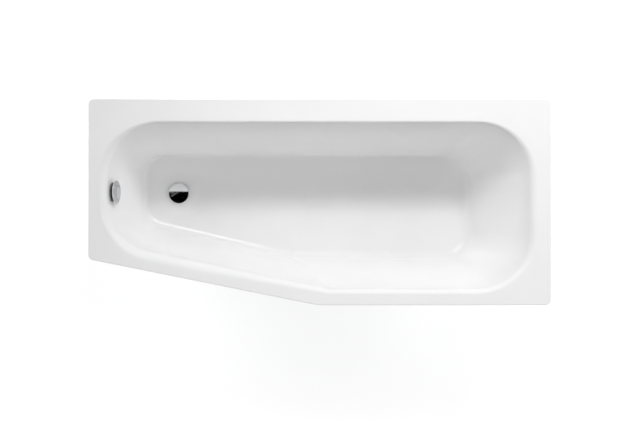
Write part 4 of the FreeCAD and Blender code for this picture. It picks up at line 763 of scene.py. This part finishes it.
def ring_nut_form(outer, bottom, top, ribs):
    """A ring nut with grip ribs: the outer radius goes in and out with a flattened cosine of the angle."""
    inner, lip, shelf, middle = outer - 0.006, outer - 0.009, bottom + 0.003, (bottom + top) / 2
    groove = 0.0012
    corners = [(inner, middle), (inner, top), (outer, top), (outer, bottom), (lip, bottom), (lip, shelf),
               (inner, shelf), (inner, middle)]
    profile = soft_profile(corners, [0.0004, 0.0012, 0.0012, 0.0004, 0.0003, 0.0002])[:-1]

    def grip(angle, radii, heights):
        wave = np.clip(0.5 + 1.1 * np.cos(ribs * angle), 0, 1)
        mask = np.clip((radii - outer + 0.0014) / 0.0008, 0, 1)
        return radii - groove * (1 - wave) * mask, heights

    return turned(profile, ribs * 8, grip, closed=True)


def slab_form(size, corner, edge):
    """A flat mat: a round-cornered outline, drawn in by the edge's arc at top and bottom.

    Rows: middle of the back, back edge, up the rounded side, front edge, middle of the front.
    """
    half = np.asarray(size) / 2
    turn = np.linspace(-np.pi / 2, np.pi / 2, 9)
    inset = np.concatenate([[corner * 0.9], edge * (1 - np.cos(turn)), [corner * 0.9]])
    height = np.concatenate([[-half[2]], np.where(turn < 0, -half[2] + edge, half[2] - edge)
                             + edge * np.sin(turn), [half[2]]])
    share = [np.linspace(0, 0.96, 5)] * 4
    rings = []
    for draw, z in zip(inset, height):
        x, y = half[0] - draw, half[1] - draw
        rounds = [max(corner - draw, 1e-4)] * 4
        rings.append(lift(plan([(-x, y), (-x, -y), (x, -y), (x, y)], rounds, share, [8] * 4)[0], z))
    columns = len(rings[0])
    points = np.concatenate(rings + [[[0, 0, -half[2]], [0, 0, half[2]]]])
    ring, last = np.arange(columns), len(rings) * columns
    faces = [grid_faces(len(rings), columns), fan_faces(last, ring), fan_faces(last + 1, ring + last - columns)]
    return points, faces


class BATH_OT_shell(bpy.types.Operator):
    """Make the enamelled sheet: rim, skirt, walls, floor, both holes and the grey back"""
    bl_idname = "bath.shell"
    bl_label = "Enamelled sheet"

    def execute(self, context):
        form, side = shell_form(context.scene.bath_sizes)
        new_piece("enamelled_sheet", form, "tub", "enamel", "tub_shell", "ground_coat", side)
        return {"FINISHED"}


class BATH_OT_plug(bpy.types.Operator):
    """Make the polished plug cover with its boss"""
    bl_idname = "bath.plug"
    bl_label = "Plug cover"

    def execute(self, context):
        fit = context.scene.bath_fittings
        low, high, under = solid_box("plug_cover")
        face = high[2] - low[2] - fit.plug_crown
        profile = domed_disc((high[0] - low[0]) / 2, fit.plug_boss, (0.0, face - fit.plug_edge, face),
                             fit.plug_crown, [0.0006, 0.0004, fit.plug_round, fit.plug_round * 1.2],
                             np.linspace(0.985, 0.04, 22))
        new_piece("plug_dome", placed(turned(profile, 96), under + UP * low[2]), "plug", "chrome", "plug_cover")
        return {"FINISHED"}


class BATH_OT_knob(bpy.types.Operator):
    """Make the chrome turn knob in front of the overflow hole, its back and hub black as painted shade for the
    gap at the wall, and with a raised mark
    """
    bl_idname = "bath.knob"
    bl_label = "Overflow knob"

    def execute(self, context):
        fit = context.scene.bath_fittings
        around, face = 112, fit.knob_standoff + fit.knob_edge
        profile = domed_disc(fit.knob_radius, fit.knob_hub, (fit.knob_hub_gap, fit.knob_standoff, face),
                             fit.knob_crown, [0.0005, 0.0008, 0.0008, 0.0012], np.linspace(0.95, 0.05, 16))
        thick, tall = 0.002, fit.knob_crown / 2 + 0.0008
        mark = turned(soft_profile([(0, 0), (thick, 0), (thick, tall), (0, tall)], [0.0, 0.0007]), 24)
        inset = 0.009
        mark = placed(mark, (fit.knob_radius - inset, 0.0, face))
        points, faces = joined(turned(profile, around), mark)
        # the back of the disc and the hub get the black finish: painted shade for the gap between the knob and
        # the wall
        behind = (profile[1:-2, 1] < fit.knob_standoff + 0.0004).astype(np.int32)
        side = np.concatenate([np.repeat(behind, around), np.ones(around, np.int32),
                               np.zeros(sum(map(len, faces[2:])), np.int32)])
        at, axis = overflow_place(context.scene.bath_sizes)
        new_piece("turn_knob", placed((points, faces), at, axis), "knob", "chrome", "control_knob",
                  "plastic_black", side)
        return {"FINISHED"}


class BATH_OT_legs(bpy.types.Operator):
    """Make the four screw legs: threaded spindles, nuts, ribbed feet and soles"""
    bl_idname = "bath.legs"
    bl_label = "Screw legs"

    def execute(self, context):
        fit, play = context.scene.bath_fittings, 0.00006
        for leg in LEGS:
            low, high, under = solid_box(f"{leg}_spindle")
            radius = (high[0] - low[0]) / 2
            nut_low, nut_high, _ = solid_box(f"{leg}_nuts")
            across, bore = max((nut_high - nut_low)[:2]) / 2, radius + play
            nuts = joined(hex_nut_form(across, bore, nut_low[2], nut_low[2] + fit.nut_height),
                          hex_nut_form(across, bore, nut_high[2] - fit.lock_nut_height, nut_high[2]))
            foot = foot_form(*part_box(f"{leg}_foot"), fit.foot_ribs)
            for name, form, body, slot, node, sharp in (
                    ("screw", spindle_form(radius, low[2], high[2], fit), "leg", "zinc", "spindle", 40.0),
                    ("hex_nuts", nuts, "nut_set", "zinc", "nuts", 25.0),
                    ("ribbed_foot", foot, "leg", "plastic_black", "foot", 40.0),
                    ("rubber_sole", sole_form(*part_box(f"{leg}_sole")), "leg", "rubber", "sole", 40.0)):
                new_piece(f"{leg}_{name}", placed(form, under), f"{leg}_{body}", slot, f"{leg}_{node}",
                          sharp=sharp)
        return {"FINISHED"}


class BATH_OT_mats(bpy.types.Operator):
    """Make the three sound-deadening mats on the back of the sheet"""
    bl_idname = "bath.mats"
    bl_label = "Sound mats"

    def execute(self, context):
        s = context.scene.bath_sizes
        thick, corner, edge = 0.003, 0.012, 0.0009
        fall, back, front = np.arctan([floor_plane(s)[1], s.run_back / s.depth, s.run_front / s.depth])
        normals = {"floor": (-np.sin(fall), 0.0, np.cos(fall)), "back": (0.0, np.cos(back), -np.sin(back)),
                   "front": (0.0, -np.cos(front), -np.sin(front))}
        for wall, normal in normals.items():
            node = f"{wall}_sound_mat"
            low, high, _ = solid_box(node)
            long, wide, tall = high - low
            side = (0.0, 1.0, 0.0)
            if wall == "floor":
                long = (long - thick * np.sin(fall)) / np.cos(fall)
            else:
                wide = (tall - thick * abs(normal[2])) / abs(normal[1])
                side = np.cross(normal, (1.0, 0.0, 0.0))
            mat = placed(slab_form((long, wide, thick), corner, edge), (low + high) / 2, normal, side)
            new_piece(f"{wall}_damping_mat", mat, "tub", "bitumen", node)
        return {"FINISHED"}


class BATH_OT_waste(bpy.types.Operator):
    """Make the ring nut of the trap with its grip ribs"""
    bl_idname = "bath.waste"
    bl_label = "Trap ring nut"

    def execute(self, context):
        low, high, under = solid_box("trap_ring_nut")
        form = ring_nut_form((high[0] - low[0]) / 2, low[2], high[2],
                             context.scene.bath_fittings.grip_ribs)
        new_piece("trap_grip_nut", placed(form, under), "tub", "plastic_grey", "trap_ring_nut")
        return {"FINISHED"}


class BATH_OT_finishes(bpy.types.Operator):
    """Give every solid that is shown as it is the finish of its material slot"""
    bl_idname = "bath.finishes"
    bl_label = "Finishes of the solids"

    def execute(self, context):
        looks = all_finishes()
        for part in frame["record"]["subparts"]:
            node = frame["nodes"][part["node"]]
            for holder in node.material_slots:
                holder.material = looks[part["material_slot"]]
        return {"FINISHED"}


def plate(name, corners, material):
    """A flat piece of the stage with four corners."""
    mesh = bpy.data.meshes.new(name)
    mesh.from_pydata(corners, [], [(0, 1, 2, 3)])
    mesh.materials.append(material)
    card = added(name, mesh)
    return card


def seen(start):
    """1 where a ray comes from the camera, a reflection or clear material, else 0."""
    paths = [start.node("ShaderNodeLightPath", out=name) for name in
             ("Is Camera Ray", "Is Glossy Ray", "Is Transmission Ray")]
    return (paths[0] + paths[1] + paths[2]).limited(0.0, 1.0)


def studio_floor():
    """A pale floor just below the feet at their longest setting."""
    far, ground, glow_share = 14.0, -0.026, 0.60
    material = bpy.data.materials.new("studio_floor")
    start = empty_tree(material)
    matt = start.node("ShaderNodeBsdfDiffuse", {"Color": (0.90, 0.90, 0.90, 1.0)})
    strength = seen(start) * glow_share
    glow = start.node("ShaderNodeEmission", {"Color": WHITE, "Strength": strength})
    lifted = start.node("ShaderNodeAddShader", {0: matt, 1: glow})
    start.node("ShaderNodeOutputMaterial", {"Surface": lifted})
    plate("studio_floor", level(-far, -far, far, far, ground), material)


def studio_cards():
    """Cards that only reflections see: a dark and a pale one over the waste, two slips and a bright strip.

    The pale card fades away from the dark one. The strip glows downwards only and fades at its ends: seen
    from above it draws a line along the round of the tapered floor.
    """
    low, over = 1.19, 1.2
    left, right, seam = -0.76, -0.47, 0.074
    streak = [(-0.722, 0.018, low), (-0.710, 0.004, low), (-0.618, 0.063, low), (-0.626, 0.076, low)]
    patch = [(-0.728, 0.046, low), (-0.672, 0.052, low), (-0.680, seam, low), (-0.740, seam, low)]
    strip = [(-0.80, 1.045, 1.416), (0.02, 1.045, 1.416), (0.02, 0.475, 1.016), (-0.80, 0.475, 1.016)]
    cards = {
        "dark_card": (0.0, level(left, -0.10, right, seam, over)),
        "pale_card": (0.86, level(left, seam, right, 0.20, over)),
        "streak_card": (0.17, streak),
        "patch_card": (0.13, patch),
        "strip_card": (13.0, strip),
    }
    for name, (tone, corners) in cards.items():
        material = bpy.data.materials.new(name)
        start = empty_tree(material)
        place = start.node("ShaderNodeTexCoord", out="Object")
        strength = tone
        if name == "pale_card":
            strength = tone - place.part("Y").limited(0.08, 0.165) * 0.16
        if name == "strip_card":
            along = place.part("X")
            ends = along.limited(-0.80, -0.66) * (1.0 - along.limited(-0.12, 0.02))
            below = 1.0 - start.node("ShaderNodeNewGeometry", out="Backfacing")
            strength = 1.0 + ends * ends * below * (tone - 1.0)
        glow = start.node("ShaderNodeEmission", {"Color": WHITE, "Strength": strength})
        start.node("ShaderNodeOutputMaterial", {"Surface": glow})
        card = plate(name, corners, material)
        for ray in ("camera", "diffuse", "shadow", "transmission", "volume_scatter"):
            setattr(card, f"visible_{ray}", False)


def level(left, front, right, back, height):
    """Corners of a level rectangle."""
    return [(left, front, height), (right, front, height), (right, back, height), (left, back, height)]


def studio_light(scene):
    """A sky that is white to the camera and to reflections, a long key lamp with a spot, and soft fills."""
    scene.world = bpy.data.worlds.new("studio_sky")
    start = empty_tree(scene.world)
    height = start.node("ShaderNodeTexCoord", out="Generated").part("Z")
    wall_glow = 0.440
    walls = height.limited(0.12, 0.34) * (1.0 - height.limited(0.60, 0.82)) * wall_glow
    sky = start.node("ShaderNodeBackground", {"Color": WHITE, "Strength": walls})
    plain = start.node("ShaderNodeBackground", {"Color": WHITE, "Strength": 1.0})
    mixed = start.node("ShaderNodeMixShader", {0: seen(start), 1: sky, 2: plain})
    start.node("ShaderNodeOutputWorld", {"Surface": mixed})
    lamp("key_lamp", "AREA", (1.0, 2.2, 3.4), (0.3, 0.0, 0.5), 42.2, shape="RECTANGLE", size=2.0, size_y=0.5)
    lamp("key_spot", "SPOT", (0.6, 2.4, 3.8), (0.35, 0.0, 0.5), 136.5, shadow_soft_size=0.3,
         spot_size=math.radians(40.0), spot_blend=1.0)
    distance, spread = 4.0, math.radians(32.0)
    for name, bearing, height, strength in (
            ("fill_head", 0.0, 30.0, 0.41), ("fill_head_back", 45.0, 30.0, 0.36),
            ("fill_foot_back", 135.0, 30.0, 0.58), ("fill_foot", 180.0, 30.0, 0.23),
            ("fill_front", 270.0, 58.0, 0.27)):
        turn, rise = math.radians(bearing), math.radians(height)
        out, up = distance * math.cos(rise), distance * math.sin(rise)
        far = (out * math.cos(turn), out * math.sin(turn), up)
        lamp(name, "SUN", far, (0.0, 0.0, 0.0), strength, angle=spread)


def lamp(name, kind, at, aim, strength, **settings):
    """A lamp at a place, turned towards its aim; reflections don't show it."""
    light = bpy.data.lights.new(name, kind)
    light.energy = strength
    for key, value in settings.items():
        setattr(light, key, value)
    holder = added(name, light)
    toward = unit(np.array(aim) - np.array(at))
    holder.location = at
    holder.rotation_euler = (math.acos(-toward[2]), 0.0, math.atan2(-toward[0], toward[1]))
    holder.visible_glossy = False


class BATH_OT_stage(bpy.types.Operator):
    """Make the pale floor, the soft light, the cards that the chrome reflects and the camera"""
    bl_idname = "bath.stage"
    bl_label = "Studio"

    def execute(self, context):
        scene = context.scene
        scene.view_settings.view_transform = "Standard"
        studio_floor()
        studio_cards()
        studio_light(scene)
        eye = bpy.data.cameras.new("Studio camera")
        eye.sensor_width = 36.0
        eye.lens = 82.9
        eye.clip_end = 60.0
        scene.camera = added("Studio camera", eye)
        scene.camera.location = (0.001, -0.039, 5.6)
        return {"FINISHED"}


class BATH_PT_panel(bpy.types.Panel):
    """Lists the sizes, the colours and one button for each group of pieces"""
    bl_label = "Space-saving bath"
    bl_idname = "BATH_PT_panel"
    bl_space_type = "VIEW_3D"
    bl_region_type = "UI"
    bl_category = "Bath"

    def draw(self, context):
        for operator in OPERATORS:
            self.layout.operator(operator.bl_idname)
        for group in (context.scene.bath_sizes, context.scene.bath_fittings, context.scene.bath_colours):
            column = self.layout.column()
            for name in group.bl_rna.properties.keys():
                if name not in ("rna_type", "name"):
                    column.prop(group, name)


GROUPS = {"bath_sizes": BathSizes, "bath_fittings": FittingSizes, "bath_colours": BathColours}
OPERATORS = (BATH_OT_stage, BATH_OT_finishes, BATH_OT_shell, BATH_OT_plug, BATH_OT_knob, BATH_OT_legs,
             BATH_OT_mats, BATH_OT_waste)


def register():
    for group in GROUPS.values():
        bpy.utils.register_class(group)
    for name, group in GROUPS.items():
        setattr(bpy.types.Scene, name, PointerProperty(type=group))
    for item in (*OPERATORS, BATH_PT_panel):
        bpy.utils.register_class(item)


def unregister():
    for item in (BATH_PT_panel, *reversed(OPERATORS)):
        bpy.utils.unregister_class(item)
    for name, group in GROUPS.items():
        delattr(bpy.types.Scene, name)
        bpy.utils.unregister_class(group)


def main():
    register()
    for operator in OPERATORS:
        group, name = operator.bl_idname.split(".")
        getattr(getattr(bpy.ops, group), name)()


if __name__ == "__main__":
    main()
